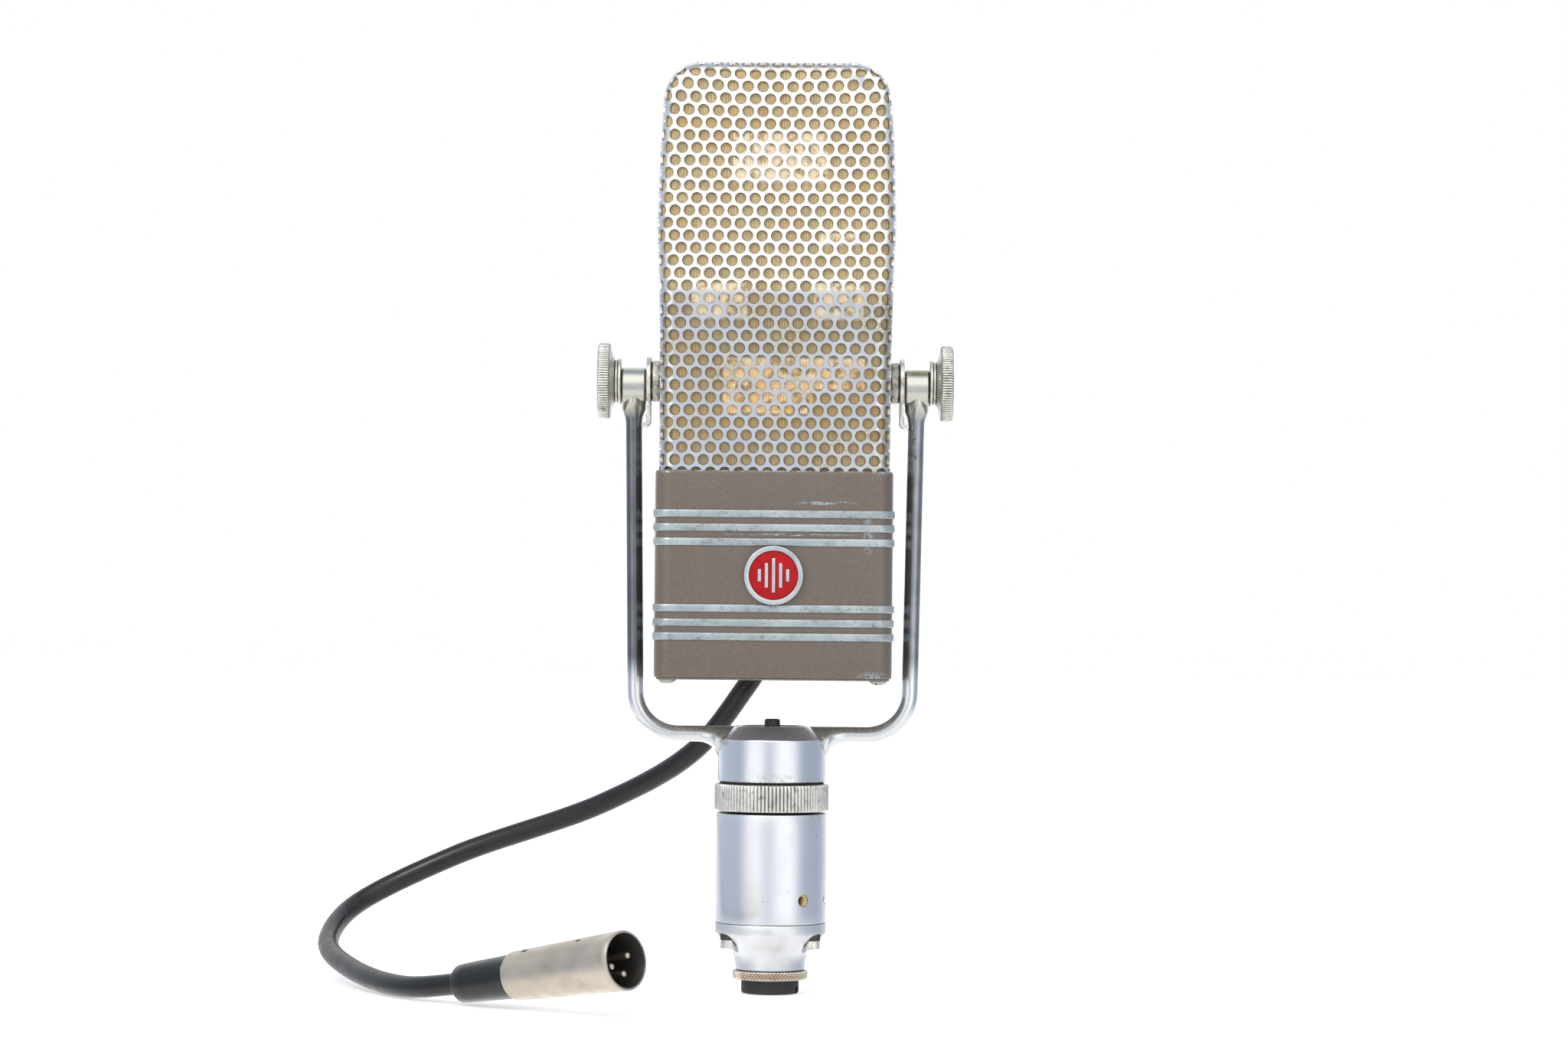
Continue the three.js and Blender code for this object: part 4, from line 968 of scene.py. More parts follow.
def yoke_arm():
    """The right arm and its half of the bar: a rod that flares into the boss and into the hub."""
    stations = []
    for t in np.concatenate([np.linspace(0, 0.14, 16), np.linspace(0.17, 1, 14)]):
        top, foot = np.array([ARM_TOP_X, BOSS_Z - 3.0]), np.array([ARM_FOOT_X, BAR_Z + BEND_R])
        stations.append((top + (foot - top) * t, np.array([0.015, -1.0])))
    for a in np.radians(np.linspace(0, -90, 19))[1:]:
        x, z = ARM_FOOT_X - BEND_R + BEND_R * math.cos(a), BAR_Z + BEND_R + BEND_R * math.sin(a)
        stations.append((np.array([x, z]), np.array([math.sin(a), -math.cos(a)])))
    for x in np.concatenate([[29, 27.5, 26, 25], np.linspace(24.4, 17.4, 13), [15, 11.4]]):
        stations.append((np.array([x, BAR_Z]), np.array([-1.0, 0.0])))
    loops = []
    for (x, z), tangent in stations:
        tangent = tangent / np.linalg.norm(tangent)
        outward = np.array([-tangent[1], tangent[0]])
        into_boss = fillet(BOSS_Z - BOSS_R + 3 - z, 9)
        into_hub = fillet(x - HUB_R + 0.4, 7)
        drop = min(into_hub, 6.0)
        half_in_plane = ROD_R + min(into_boss, 1.2) + drop / 2
        half_across = ROD_R + min(into_boss, 2.6) + min(drop, 3.4) * 0.7
        centre = np.array([x, z - drop / 2])
        loop = []
        for a in np.radians(np.arange(0, 360, 15)):
            flat = centre + outward * half_in_plane * math.cos(a)
            loop.append((flat[0], half_across * math.sin(a), flat[1]))
        loops.append(loop)
    return skin(loops)


def yoke():
    boss = turned(ring_profile(BORE_R, BOSS_R, *BOSS_X, 0.55), 64, closed=True)
    points, faces = moved(boss, (0, 0, BOSS_Z), ALONG_X)
    # The bore is on the tilt axis, a little above the middle of the boss
    near_axis = np.hypot(points[:, 1], points[:, 2] - BOSS_Z) < BORE_R + 1
    points[near_axis, 2] += PIVOT_Z - BOSS_Z
    side = joined(yoke_arm(), (points, faces))
    shoulder_z, recess_z, recess_r, hub_bore = 83.4, 86.0, 11.0, 9.3
    profile = [(hub_bore, HUB_LOW + 0.2), (hub_bore + 0.2, HUB_LOW), (HUB_R - 0.3, HUB_LOW)]
    profile += [(HUB_R, HUB_LOW + 0.3), (HUB_R, shoulder_z)]
    profile += arc(HUB_R - 1.1, shoulder_z, 1.1, 10, 55, 4)
    profile += [(12.6, HUB_TOP - 0.25), (12.1, HUB_TOP), (recess_r + 0.3, HUB_TOP)]
    profile += [(recess_r, HUB_TOP - 0.3), (recess_r, recess_z), (hub_bore, recess_z)]
    hub = turned(profile, 128, closed=True)
    show("yoke_fork", joined(side, mirrored(side)), "yoke", "yoke_metal", YOKE_METAL, replaces=["yoke"])
    show("yoke_hub", hub, "yoke", "yoke_metal", HUB_METAL, replaces=["yoke"])


yoke()

# ---- Tilt pivots ----


def straight_knurl(count, depth, levels, seed, least_r=0):
    """Radii of a straight knurl of `count` ridges between two levels, worn unevenly round the part."""

    def radii(angles, r, z):
        if r < least_r or not levels[0] < z < levels[1]:
            return np.full(len(angles), float(r))
        ridge = np.abs(np.sin(angles * count / 2)) ** 0.8
        spots = [noise.noise(Vector((3 * math.cos(a), 3 * math.sin(a), seed))) for a in angles]
        return r - depth * (1 - ridge) * (0.75 + 0.35 * np.array(spots))

    return radii


def at_pivot(part, side):
    """Lays a part made about Z along the tilt axis, on one side of the head."""
    return on_side(moved(part, (0, 0, PIVOT_Z), ALONG_X), side)


def thumb_knob(word, side):
    low, high = cad_box("thumb_knob_right")
    inner, outer, r = low.x, high.x, (high.z - low.z) / 2
    face = outer - 4.1
    profile = [(0.1, outer - 2.4), (BORE_R, outer - 2.4), (BORE_R, inner + 0.2), (BORE_R + 0.2, inner)]
    profile += [(7.4, inner), (7.6, inner + 0.15), (7.9, inner + 0.35), (8.5, inner + 0.65)]
    profile += [(9.6, face - 0.35), (10.3, face - 0.05), (r - 0.75, face), (r - 0.45, face + 0.12)]
    profile += [(r - 0.1, face + 0.45), (r, face + 0.6), (r, face + 2), (r, outer - 0.7)]
    profile += [(r - 0.1, outer - 0.5), (r - 0.5, outer - 0.12), (r - 0.8, outer), (8.2, outer)]
    profile += [(7.8, outer - 0.15), (7.4, outer - 0.55), (7.0, outer - 0.7), (0.1, outer - 0.6)]
    count = 90
    knurl = straight_knurl(count, 0.55, (face + 0.1, outer - 0.1), 1.7 * side, 11)
    part = at_pivot(turned(profile, count * 6, knurl), side)
    node = f"thumb_knob_{word}"
    show(f"knurled_knob_{word}", part, node, "nickel", NICKEL, sharp_deg=45, replaces=[node])


def pivot_washer(word, side):
    low, high = cad_box("knob_washer_right")
    node = f"knob_washer_{word}"
    r = (high.z - low.z) / 2
    gap = 0.1
    middle = (low.x + high.x) / 2
    halves = [
        turned(ring_profile(BORE_R, r, low.x, middle - gap / 2, 0.22), 64, closed=True),
        turned(ring_profile(BORE_R, r - 0.5, middle + gap / 2, high.x, 0.22), 64, closed=True),
    ]
    part = at_pivot(joined(*halves), side)
    show(f"washers_{word}", part, node, "nickel", NICKEL, replaces=[node])


def hex_nut(word, side):
    low, high = cad_box("stud_nut_right")
    corner_r = 7.6
    flat_r = corner_r * math.cos(math.pi / 6)

    def hexagon(angles, r, z):
        if r <= BORE_R + 0.5:
            return np.full(len(angles), float(r))
        reach = flat_r / np.cos((angles + math.pi / 6) % (math.pi / 3) - math.pi / 6)
        return np.minimum(reach, r)

    profile = [(BORE_R, low.x), (flat_r - 0.1, low.x), (corner_r, low.x + 0.45)]
    profile += [(corner_r, high.x - 0.45), (flat_r - 0.1, high.x), (BORE_R, high.x)]
    part = at_pivot(turned(profile, 72, hexagon, closed=True), side)
    show(f"hex_nut_{word}", part, "head", "nickel", DULL_NICKEL, replaces=[f"stud_nut_{word}"])


def threaded_stud(word, side):
    low, high = cad_box("pivot_stud_right")
    pitch = 0.9
    profile = [(0.1, low.x), (STUD_R - 0.4, low.x)]
    x = low.x + 0.3
    while x < high.x - pitch:
        profile += [(STUD_R, x), (STUD_R - 0.35, x + pitch / 2)]
        x += pitch
    profile += [(STUD_R - 0.4, high.x - 0.2), (STUD_R - 0.7, high.x), (0.1, high.x)]
    part = at_pivot(turned(profile, 32), side)
    node = f"pivot_stud_{word}"
    show(f"threaded_stud_{word}", part, "head", "dark_steel", DARK_STEEL, replaces=[node])


# How far the lock plate's tongue reaches down from the tilt axis
TONGUE_DROP = 14.6


def tongue_strip(low_x, high_x, half_w):
    """The end of the lock plate, bent outwards round a small radius until it bears on the yoke arm."""
    thick = high_x - low_x
    middle = (low_x + high_x) / 2
    bend_r = thick * 0.85
    low_z = PIVOT_Z - TONGUE_DROP
    path = [(middle, low_z + 3.5, 0), (middle, low_z + bend_r, 0)]
    for a in np.radians(np.linspace(0, 90, 7))[1:]:
        path.append((middle + bend_r * (1 - math.cos(a)), low_z + bend_r * (1 - math.sin(a)), a))
    path.append((middle + bend_r + 1.0, low_z, math.pi / 2))
    ease = 0.25
    outline = [(-1, 1 - ease), (-1 + ease, 1), (1 - ease, 1), (1, 1 - ease)]
    outline += [(1, ease - 1), (1 - ease, -1), (ease - 1, -1), (-1, ease - 1)]
    loops = []
    for x, z, a in path:
        nx, nz = math.cos(a) * thick / 2, math.sin(a) * thick / 2
        loops.append([(x + nx * p, q * half_w, z + nz * p) for p, q in outline])
    return skin(loops)


def lock_plate(word, side):
    x0 = cad_box("lock_plate_right")[0].x
    disc_r, half_w, reach, thickness = 8.0, 4.2, 11.4, 1.5
    x1 = x0 + thickness

    def outline(angles, r, z):
        if r < BORE_R + 0.5:
            return np.full(len(angles), float(r))
        eased = disc_r - r
        # After ALONG_X the part's +X side points down, so the neck runs along angle 0
        sine, cosine = np.abs(np.sin(angles)), np.cos(angles)
        neck = np.minimum(half_w / np.maximum(sine, 1e-6), reach / np.maximum(cosine, 1e-6))
        return np.maximum(disc_r, np.where(cosine > 0, neck, 0)) - eased

    profile = ring_profile(BORE_R, disc_r, x0, x1, 0.22)
    plate = moved(turned(profile, 180, outline, closed=True), (0, 0, PIVOT_Z), ALONG_X)
    part = on_side(joined(plate, tongue_strip(x0 - 0.01, x1 + 0.01, half_w + 0.01)), side)
    node = f"lock_plate_{word}"
    show(f"tabbed_plate_{word}", part, "yoke", "nickel", NICKEL, sharp_deg=40, replaces=[node])


for word, side in SIDES:
    thumb_knob(word, side)
    pivot_washer(word, side)
    hex_nut(word, side)
    threaded_stud(word, side)
    lock_plate(word, side)

# ---- Stand mount ----

SLEEVE_LOW, SLEEVE_HIGH = cad_box("sleeve")
SLEEVE_R = SLEEVE_HIGH.x
# The bore of the collar and the stand ring, into which the plug fits
PLUG_BORE_R = 9.825
# Holes and screws round the axis are placed in degrees from the front, towards +X
SIDE_HOLE_Z = 31.5
SIDE_HOLE_R = 1.85
SIDE_HOLE_AZIMUTHS = (36, 78)
COLLAR_SCREW_CIRCLE_R = 15.9
COLLAR_SCREWS = (("left", -60), ("right", 60), ("rear", 180))


def swivel_bolt():
    low, high = cad_box("swivel_bolt")
    seat = high.z - 3.1
    head = [(0.1, low.z), (2, low.z), (2, seat), (2.35, seat), (2.6, seat + 0.2), (2.6, high.z - 0.6)]
    head += [(2.45, high.z - 0.2), (2.1, high.z), (0.1, high.z)]
    slot = rounded_box((-4, -0.42, high.z - 1.1), (4, 0.42, high.z + 1), 0)
    part = turned(head, 48)
    show("slotted_bolt", part, "base", "dark_steel", DARK_STEEL, replaces=["swivel_bolt"], cuts=[slot])
    low, high = cad_box("swivel_washer")
    washer = turned(ring_profile(2.3, high.x, low.z, high.z, 0.25), 96, closed=True)
    show("dark_washer", washer, "base", "nickel", DARK_STEEL, replaces=["swivel_washer"])


def lock_ring():
    low, high = cad_box("lock_ring")
    count = 93
    r, bore = high.x, 14.3
    profile = [(bore, low.z), (r - 0.7, low.z), (r - 0.25, low.z + 0.15), (r, low.z + 0.5)]
    profile += [(r, low.z + 3), (r, high.z - 3), (r, high.z - 0.5), (r - 0.25, high.z - 0.15)]
    profile += [(r - 0.7, high.z), (bore, high.z)]
    knurl = straight_knurl(count, 0.6, (low.z + 0.1, high.z - 0.1), 4.4, r - 0.5)
    part = turned(profile, count * 6, knurl, closed=True)
    show("knurled_lock_ring", part, "lock_ring", "nickel", NICKEL, sharp_deg=45, replaces=["lock_ring"])
    node = "friction_washer"
    low, high = cad_box(node)
    washer = turned(ring_profile(9.6, high.x, low.z, high.z, 0.1), 96, closed=True)
    show("fibre_washer", washer, node, "fibre", FIBRE, replaces=[node])


def sleeve():
    r, bore, thread_start = SLEEVE_R, 11.5, 12.2
    low, high = SLEEVE_LOW.z, SLEEVE_HIGH.z
    profile = [(bore, low), (r - 0.12, low), (r - 0.04, low + 0.06), (r, low + 0.18), (r, low + 5)]
    profile += [(r, high - 5), (r, high - 0.6), (r - 0.12, high - 0.2), (r - 0.5, high), (bore, high)]
    drill = turned([(SIDE_HOLE_R, 9), (SIDE_HOLE_R, 17.6), (SIDE_HOLE_R + 0.6, 19.2)], 48)
    ridges = []
    for i in range(8):
        depth = thread_start + 0.7 * i
        ridges += [(SIDE_HOLE_R - 0.05, depth), (SIDE_HOLE_R - 0.4, depth + 0.35)]
    tube = ridges + [(SIDE_HOLE_R + 0.3, 17.8), (SIDE_HOLE_R + 0.3, thread_start)]
    thread = turned(tube, 32, closed=True)
    cuts, threads = [], []
    for azimuth in SIDE_HOLE_AZIMUTHS:
        turn = Matrix.Rotation(math.radians(azimuth), 3, "Z") @ TO_FRONT
        cuts.append(moved(drill, (0, 0, SIDE_HOLE_Z), turn))
        threads.append(moved(thread, (0, 0, SIDE_HOLE_Z), turn))
    part = turned(profile, 192, closed=True)
    show("turned_sleeve", part, "base", "turned_aluminium", TURNED, replaces=["sleeve"], cuts=cuts)
    show("side_hole_threads", joined(*threads), "base", "brass", BRASS)


def at_collar_screw(part, azimuth):
    """Moves a part made on the axis to a place on the screws' circle."""
    turn = Matrix.Rotation(math.radians(azimuth), 3, "Z")
    return moved(moved(part, (0, -COLLAR_SCREW_CIRCLE_R, 0)), turn=turn)


def collar():
    low, high = cad_box("base_collar")
    flange_z, r, pocket_r = 20.0, high.x, 3.4
    profile = [(PLUG_BORE_R, low.z), (11.2, low.z), (11.4, low.z + 0.2), (11.6, 10.3), (12.0, 12.3)]
    profile += [(12.5, 13.7), (13.2, 14.7), (13.9, 15.45)]
    profile += [(r - 0.3, flange_z - 0.3), (r - 0.08, flange_z - 0.02), (r, flange_z + 0.2)]
    profile += [(r, high.z - 0.15), (r - 0.05, high.z - 0.04), (r - 0.15, high.z), (PLUG_BORE_R, high.z)]
    pocket = turned([(pocket_r, low.z - 1), (pocket_r, flange_z)], 64)
    cuts = [at_collar_screw(pocket, azimuth) for _, azimuth in COLLAR_SCREWS]
    part = turned(profile, 160, closed=True)
    node = "base_collar"
    show("cast_collar", part, "base", "turned_aluminium", CAST_METAL, replaces=[node], cuts=cuts)
    collar_screws(flange_z)


def collar_screws(flange_z):
    """The screws that hold the collar to the sleeve, each with a dark spacer over its head, put in as
    painted shade in the gap under the flange.
    """
    face, seat, head_r, end = 15.2, 18.2, 2.6, 24.0
    # Painted shade: a dark steel disc fills the gap between each screw head and the flange.
    shadow_spacer = turned([(0.1, seat + 0.05), (2.75, seat + 0.05), (2.75, flange_z), (0.1, flange_z)], 48)
    shadow_spacers = joined(*(at_collar_screw(shadow_spacer, azimuth) for _, azimuth in COLLAR_SCREWS))
    show("screw_shadow_spacers", shadow_spacers, "base", "dark_steel", DARK_STEEL)
    head = [(0.1, face), (head_r - 0.35, face), (head_r - 0.07, face + 0.15), (head_r, face + 0.4)]
    head += [(head_r, seat - 0.2), (head_r - 0.15, seat), (1.5, seat), (1.5, end), (0.1, end)]
    slot = rounded_box((-4, -0.4, face - 2.2), (4, 0.4, face + 0.9), 0)
    for word, azimuth in COLLAR_SCREWS:
        # Every slot points nearly the same way, about across the front
        turn = Matrix.Rotation(math.radians(15 - azimuth), 3, "Z")
        cut = at_collar_screw(moved(slot, turn=turn), azimuth)
        screw = at_collar_screw(turned(head, 48), azimuth)
        node = f"collar_screw_{word}"
        show(f"cheese_screw_{word}", screw, "base", "nickel", NICKEL, replaces=[node], cuts=[cut])


def stand_ring():
    low, high = cad_box("stand_ring")
    r, count, depth, slope = high.x, 64, 0.6, 2.6

    def diamonds(angles, radius, z):
        if radius < r - 0.3:
            return np.full(len(angles), float(radius))
        lean = (z - low.z) * slope
        first = np.abs(np.sin(angles * count / 2 + lean))
        second = np.abs(np.sin(angles * count / 2 - lean))
        return radius - depth * (1 - np.minimum(first, second))

    profile = [(PLUG_BORE_R, low.z), (r - 0.5, low.z)]
    profile += [(r, z) for z in np.linspace(low.z + 0.3, high.z - 0.3, 13)]
    profile += [(r - 0.5, high.z), (PLUG_BORE_R, high.z)]
    part = turned(profile, count * 8, diamonds, closed=True)
    node = "stand_ring"
    show("diamond_ring", part, node, "nickel", RUSTED_NICKEL, sharp_deg=50, replaces=[node])


def plug():
    high = cad_box("stand_plug")[1]
    r, edge = high.x, 0.9
    profile = [(0.1, 0)] + arc(r - edge, edge, edge, -90, 0, 5)
    profile += [(r, high.z - 0.2), (r - 0.2, high.z), (0.1, high.z)]
    notch = rounded_box((r - 1, -1.2, -1), (r + 1, 1.2, 2.4), 0)
    notch = moved(notch, turn=Matrix.Rotation(-0.35, 3, "Z"))
    part = turned(profile, 96)
    node = "stand_plug"
    show("stand_foot", part, "base", "black_rubber", PLUG_RUBBER, replaces=[node], cuts=[notch])


swivel_bolt()
lock_ring()
sleeve()
collar()
stand_ring()
plug()

# ---- Cable and connector ----

CABLE_R = 3.5
CABLE_EXIT_Z = 117.0
CONNECTOR_REAR = Vector((-98.2, -50, 6.6))
CONNECTOR_MOUTH = Vector((-44.3, -96, 18.4))
CONNECTOR_AXIS = (CONNECTOR_MOUTH - CONNECTOR_REAR).normalized()
CONNECTOR_L = (CONNECTOR_MOUTH - CONNECTOR_REAR).length
BOOT_L = 24.3
PIN_R = 1.1
PIN_CIRCLE_R = 4.2
PIN_ANGLES = (72, 250, 337)
CABLE_POINTS = [
    (0, CASE_HALF_D - 0.5, CABLE_EXIT_Z),
    (0, CASE_HALF_D + 3.5, CABLE_EXIT_Z),
    (-1.4, 37.5, 114.5),
    (-3.6, 39.2, 109.5),
    (-9.7, 39.8, 99.7),
    (-26.5, 50, 78.4),
    (-58.7, 72, 58.9),
    (-111.7, 88, 39),
    (-144.9, 82, 22.4),
    (-152, 55, 12.2),
    (-139.7, 10, 5.9),
    (-117, -33, 3.9),
    CONNECTOR_REAR + CONNECTOR_AXIS * 1.5,
]


def centripetal_curve(controls, spacing):
    """Points along a centripetal Catmull-Rom curve through the control points."""
    controls = [np.array(p, float) for p in controls]
    controls = [2 * controls[0] - controls[1]] + controls + [2 * controls[-1] - controls[-2]]
    points = []
    for i in range(1, len(controls) - 2):
        near = controls[i - 1 : i + 3]
        knots = [0.0]
        for a, b in zip(near, near[1:]):
            knots.append(knots[-1] + np.linalg.norm(b - a) ** 0.5)
        steps = max(2, int(np.linalg.norm(near[2] - near[1]) / spacing))
        for t in np.linspace(knots[1], knots[2], steps, endpoint=False):
            level = near
            # Each level of the pyramid blends the points of the one before, over these pairs of knots
            for spans in (((0, 1), (1, 2), (2, 3)), ((0, 2), (1, 3)), ((1, 2),)):
                following = []
                for k, (first, last) in enumerate(spans):
                    share = (t - knots[first]) / (knots[last] - knots[first])
                    following.append(level[k] * (1 - share) + level[k + 1] * share)
                level = following
            points.append(level[0])
    points.append(controls[-2])
    return points


def cable():
    path = [Vector(p) for p in centripetal_curve(CABLE_POINTS, 2.0)]
    across = Vector((1, 0, 0))
    loops = []
    for i, point in enumerate(path):
        ahead, behind = path[min(i + 1, len(path) - 1)], path[max(i - 1, 0)]
        tangent = (ahead - behind).normalized()
        across = (across - tangent * across.dot(tangent)).normalized()
        other = tangent.cross(across)
        radius = CABLE_R * (1 + 0.012 * noise.noise(point / 9))
        angles = np.radians(np.arange(0, 360, 15))
        loops.append([point + (across * math.cos(a) + other * math.sin(a)) * radius for a in angles])
    nodes = ["cable", "cable_stub"]
    part = skin(loops)
    obj = show("rubber_cable", part, None, "black_rubber", CABLE_RUBBER, sharp_deg=60, replaces=nodes)
    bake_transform(obj)


def strain_relief():
    wall = CASE_HALF_D
    outer = wall + BAND_PROUD + 0.3
    bore = CABLE_R + 0.35
    inner = wall - CASE_WALL - 0.3
    profile = [(bore, wall - 1.6), (7, wall - 1.6), (7, inner), (5, inner), (5, outer), (6.7, outer)]
    profile += [(7, outer + 0.3), (6.6, outer + 3), (6.2, outer + 3.5), (bore, outer + 3.6)]
    part = moved(turned(profile, 64, closed=True), (0, 0, CABLE_EXIT_Z), TO_REAR)
    show("rubber_grommet", part, "head", "black_rubber", PLUG_RUBBER, replaces=["strain_relief"])


def connector():
    turn = Vector((0, 0, 1)).rotation_difference(CONNECTOR_AXIS).to_matrix()
    # The direction across the connector that points up in the world, in the connector's own frame
    up = turn.inverted() @ (Vector((0, 0, 1)) - CONNECTOR_AXIS * CONNECTOR_AXIS.z).normalized()
    up_turn = Matrix.Rotation(math.atan2(up.y, up.x), 3, "Z")

    def placed(part):
        return moved(part, CONNECTOR_REAR, turn)

    def towards_top(part, degrees=0):
        return moved(part, turn=Matrix.Rotation(math.radians(degrees), 3, "Z") @ up_turn)

    mouth_r, rear_r, wall = 9.4, 7.8, 0.9
    length = CONNECTOR_L
    insert_z = length - 13
    bore, boot_end = CABLE_R + 0.3, BOOT_L + 5
    boot = [(bore, 0.3), (5.2, 0), (5.8, 0.25), (6.15, 0.9), (6.4, 5), (7.05, BOOT_L - 1.2)]
    boot += [(7.15, BOOT_L - 0.5), (6.9, BOOT_L), (6.3, BOOT_L), (6.3, boot_end), (bore, boot_end)]
    part = placed(turned(boot, 72, closed=True))
    show("cable_boot", part, "yoke", "black_rubber", BOOT_RUBBER, replaces=["connector_boot"])

    start = BOOT_L + 0.35
    shell = [(6.8, start + 0.2), (7.0, start), (rear_r - 0.25, start), (rear_r, start + 0.25)]
    for share in (0.1, 0.3, 0.5, 0.7, 0.88):
        shell.append((rear_r + (mouth_r - rear_r) * share, start + (length - start) * share))
    shell += [(mouth_r - 0.04, length - 2.2), (mouth_r, length - 0.35), (mouth_r - 0.12, length - 0.08)]
    shell += [(mouth_r - 0.35, length), (mouth_r - wall + 0.12, length), (mouth_r - wall, length - 0.25)]
    shell += [(mouth_r - wall - 0.3, insert_z - 6), (6.8, insert_z - 20)]
    slots = []
    for z, size in ((start + 6.4, 1.5), (start + 30.4, 1.2)):
        slot = rounded_box((mouth_r - 3.2, -size / 2, z), (mouth_r + 2, size / 2, z + size * 1.5), 0)
        slots.append(placed(towards_top(slot, 24)))
    part = placed(turned(shell, 128, closed=True))
    metals, node = (SHELL_NICKEL, DARK_STEEL), "connector_shell"
    tube = show("connector_tube", part, "yoke", "connector_nickel", *metals, replaces=[node], cuts=slots)
    # Painted shade: the faces inside the shell take the dark steel finish, which darkens the inside of the
    # mouth.
    for polygon in tube.data.polygons:
        offset = polygon.center / MM - CONNECTOR_REAR
        outward = offset - CONNECTOR_AXIS * offset.dot(CONNECTOR_AXIS)
        if polygon.normal.dot(outward) < -0.5 * outward.length:
            polygon.material_index = 1

    r, back = mouth_r - wall - 0.55, insert_z - 5
    insert = [(0.1, back), (r, back), (r, insert_z - 0.4), (r - 0.4, insert_z), (0.1, insert_z)]
    key = rounded_box((r - 1.8, -0.9, insert_z - 3), (r + 1, 0.9, insert_z + 1), 0)
    key = placed(towards_top(key, -35))
    node = "connector_insert"
    part = placed(turned(insert, 72))
    show("pin_block", part, "yoke", "black_rubber", PLUG_RUBBER, replaces=[node], cuts=[key])

    foot, tip, rounding = insert_z + 0.2, length - 2, 0.9
    pin = [(0.05, foot), (PIN_R, foot), (PIN_R, tip - rounding)]
    pin += arc(PIN_R - rounding, tip - rounding, rounding, 0, 90, 5) + [(0.05, tip)]
    for i, angle in enumerate(PIN_ANGLES, 1):
        a = math.radians(angle)
        offset = (PIN_CIRCLE_R * math.cos(a), PIN_CIRCLE_R * math.sin(a), 0)
        part = placed(moved(turned(pin, 32), offset))
        node = f"connector_pin_{i}"
        show(f"plated_pin_{i}", part, "yoke", "connector_nickel", SHELL_NICKEL, replaces=[node])


cable()
strain_relief()
connector()

# ---- Finishes for the CAD parts that keep their own shape, all inside ----

SLOT_MATERIALS = {
    "yoke_metal": CAST_METAL,
    "turned_aluminium": CAST_METAL,
    "dark_steel": DARK_STEEL,
    "magnet_steel": MAGNET_STEEL,
    "ribbon_foil": RIBBON_FOIL,
    "brass": BRASS,
    "copper_coil": COPPER,
    "fibre": FIBRE,
}

for row in frame["record"]["subparts"]:
    material = SLOT_MATERIALS.get(row["material_slot"])
    if material:
        node = frame["nodes"][row["node"]]
        node.data.materials.clear()
        node.data.materials.append(material)

# ---- Floor, light and camera ----

# azimuth, elevation, half width, half height (degrees) and strength. Azimuth 0 is towards the camera.
STUDIO_PANELS = [
    (0, 46, 85, 34, 1.0),
    (-37, -4, 24, 18, 0.72),
    (31, -4, 29, 18, 0.78),
    (-4, -4, 12, 15, 0.1),
    (-115, 0, 40, 60, 0.12),
]


class WorldShader(Shader):
    def __init__(self):
        world = bpy.data.worlds.new("studio")
        bpy.context.scene.world = world
        world.use_nodes = True
        self.tree = world.node_tree
        self.background = self.tree.nodes["Background"]

    def panel(self, azimuth, elevation, azimuth_0, elevation_0, half_w, half_h, strength):
        """A soft light panel in the surroundings, all angles in degrees."""
        da = self.math("DIVIDE", self.math("SUBTRACT", azimuth, azimuth_0), half_w)
        de = self.math("DIVIDE", self.math("SUBTRACT", elevation, elevation_0), half_h)
        squared = self.plus(self.times(da, da), self.times(de, de))
        return self.times(self.math("POWER", math.e, self.times(squared, squared, -1.0)), strength)


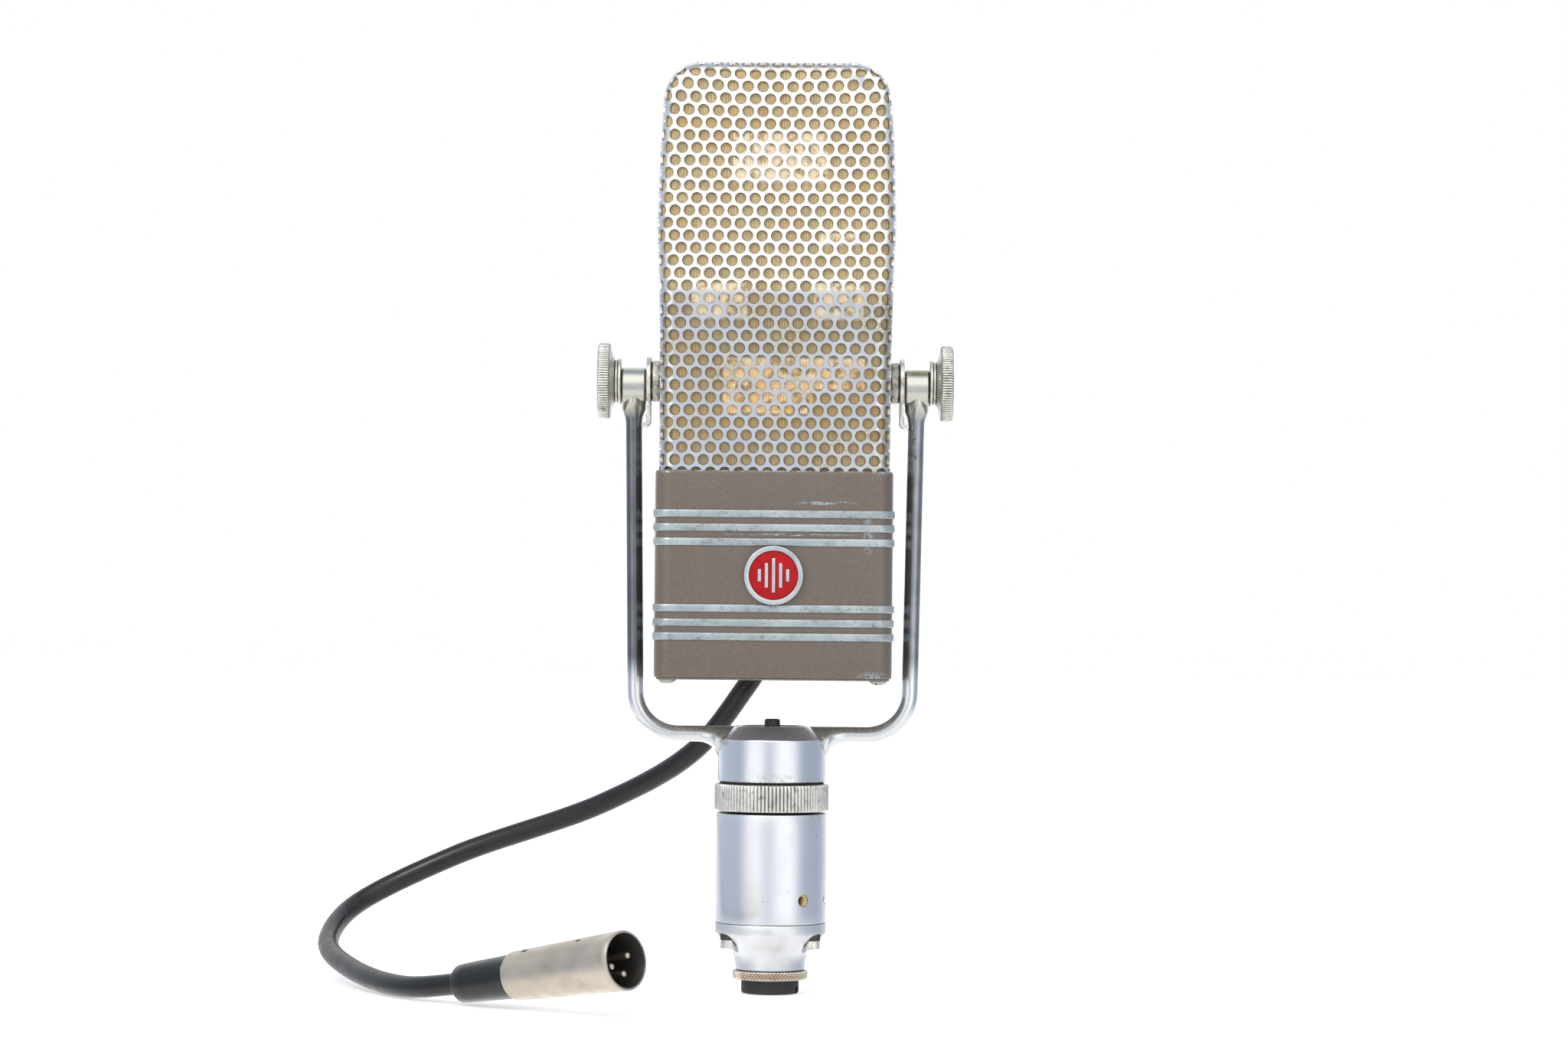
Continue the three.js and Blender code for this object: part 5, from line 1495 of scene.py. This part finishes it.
def studio():
    """White surroundings for the camera; a darker room with soft panels for light and reflections."""
    s = WorldShader()
    coords = s.node("ShaderNodeTexCoord")
    split = s.node("ShaderNodeSeparateXYZ")
    s.put(split.inputs[0], coords.outputs["Generated"])
    x, y, z = (split.outputs[k] for k in "XYZ")
    degrees = 180 / math.pi
    azimuth = s.times(s.math("ARCTAN2", x, s.times(y, -1.0)), degrees)
    elevation = s.times(s.math("ARCSINE", z), degrees)
    light = 0.5
    for panel in STUDIO_PANELS:
        light = s.plus(light, s.panel(azimuth, elevation, *panel))
    behind = s.math("ABSOLUTE", azimuth)
    light = s.plus(light, s.panel(behind, elevation, 180, 5, 45, 60, 0.6))
    light = s.plus(light, s.fade(elevation, -10, -30, 0, 0.6))
    cool = s.mix(s.fade(light, 0.55, 1.15), (0.84, 0.94, 1.1), (1.0, 1.0, 1.0))
    tinted = s.mix(1.0, cool, light, "MULTIPLY")
    path = s.node("ShaderNodeLightPath")
    s.put(s.background.inputs["Color"], s.mix(path.outputs["Is Camera Ray"], tinted, (1.0, 1.0, 1.0)))


def pale_floor():
    size = 6000
    corners = np.array([(-size, -size, 0), (size, -size, 0), (size, size, 0), (-size, size, 0)])
    floor = bpy.data.objects.new("floor", new_mesh("floor", (corners, [(0, 1, 2, 3)])))
    bpy.context.scene.collection.objects.link(floor)
    s = Shader("pale_floor")
    s.set(Base_Color=(0.8, 0.8, 0.81), Roughness=0.7)
    s.set(Emission_Color=(1.0, 1.0, 1.0), Emission_Strength=0.45)
    floor.data.materials.append(s.material)
    floor.location.z = -0.05 * MM
    floor.visible_glossy = False


def area_light(name, location, target, size, power):
    data = bpy.data.lights.new(name, "AREA")
    data.size = size * MM
    data.energy = power
    light = bpy.data.objects.new(name, data)
    light.location = Vector(location) * MM
    aim = Vector(target) * MM - light.location
    light.rotation_euler = aim.to_track_quat("-Z", "Y").to_euler()
    bpy.context.scene.collection.objects.link(light)


studio()
pale_floor()
area_light("key", (-700, -900, 1100), (0, 0, 180), 350, 6)

CAMERA_DISTANCE = 1422.4
CAMERA_LENS = 98.4375
CAMERA_HEIGHT = 131
CAMERA_SIDE = 3.25
CAMERA_PITCH = 1.0
CAMERA_ROLL = 0.536

camera_data = bpy.data.cameras.new("camera")
camera_data.sensor_width = 36
camera_data.lens = CAMERA_LENS
camera = bpy.data.objects.new("camera", camera_data)
bpy.context.scene.collection.objects.link(camera)
camera.location = Vector((CAMERA_SIDE, -CAMERA_DISTANCE, CAMERA_HEIGHT)) * MM
facing = Matrix.Rotation(math.radians(90 + CAMERA_PITCH), 4, "X")
camera.rotation_euler = (facing @ Matrix.Rotation(math.radians(CAMERA_ROLL), 4, "Z")).to_euler()
bpy.context.scene.camera = camera
bpy.context.scene.view_settings.view_transform = "Standard"
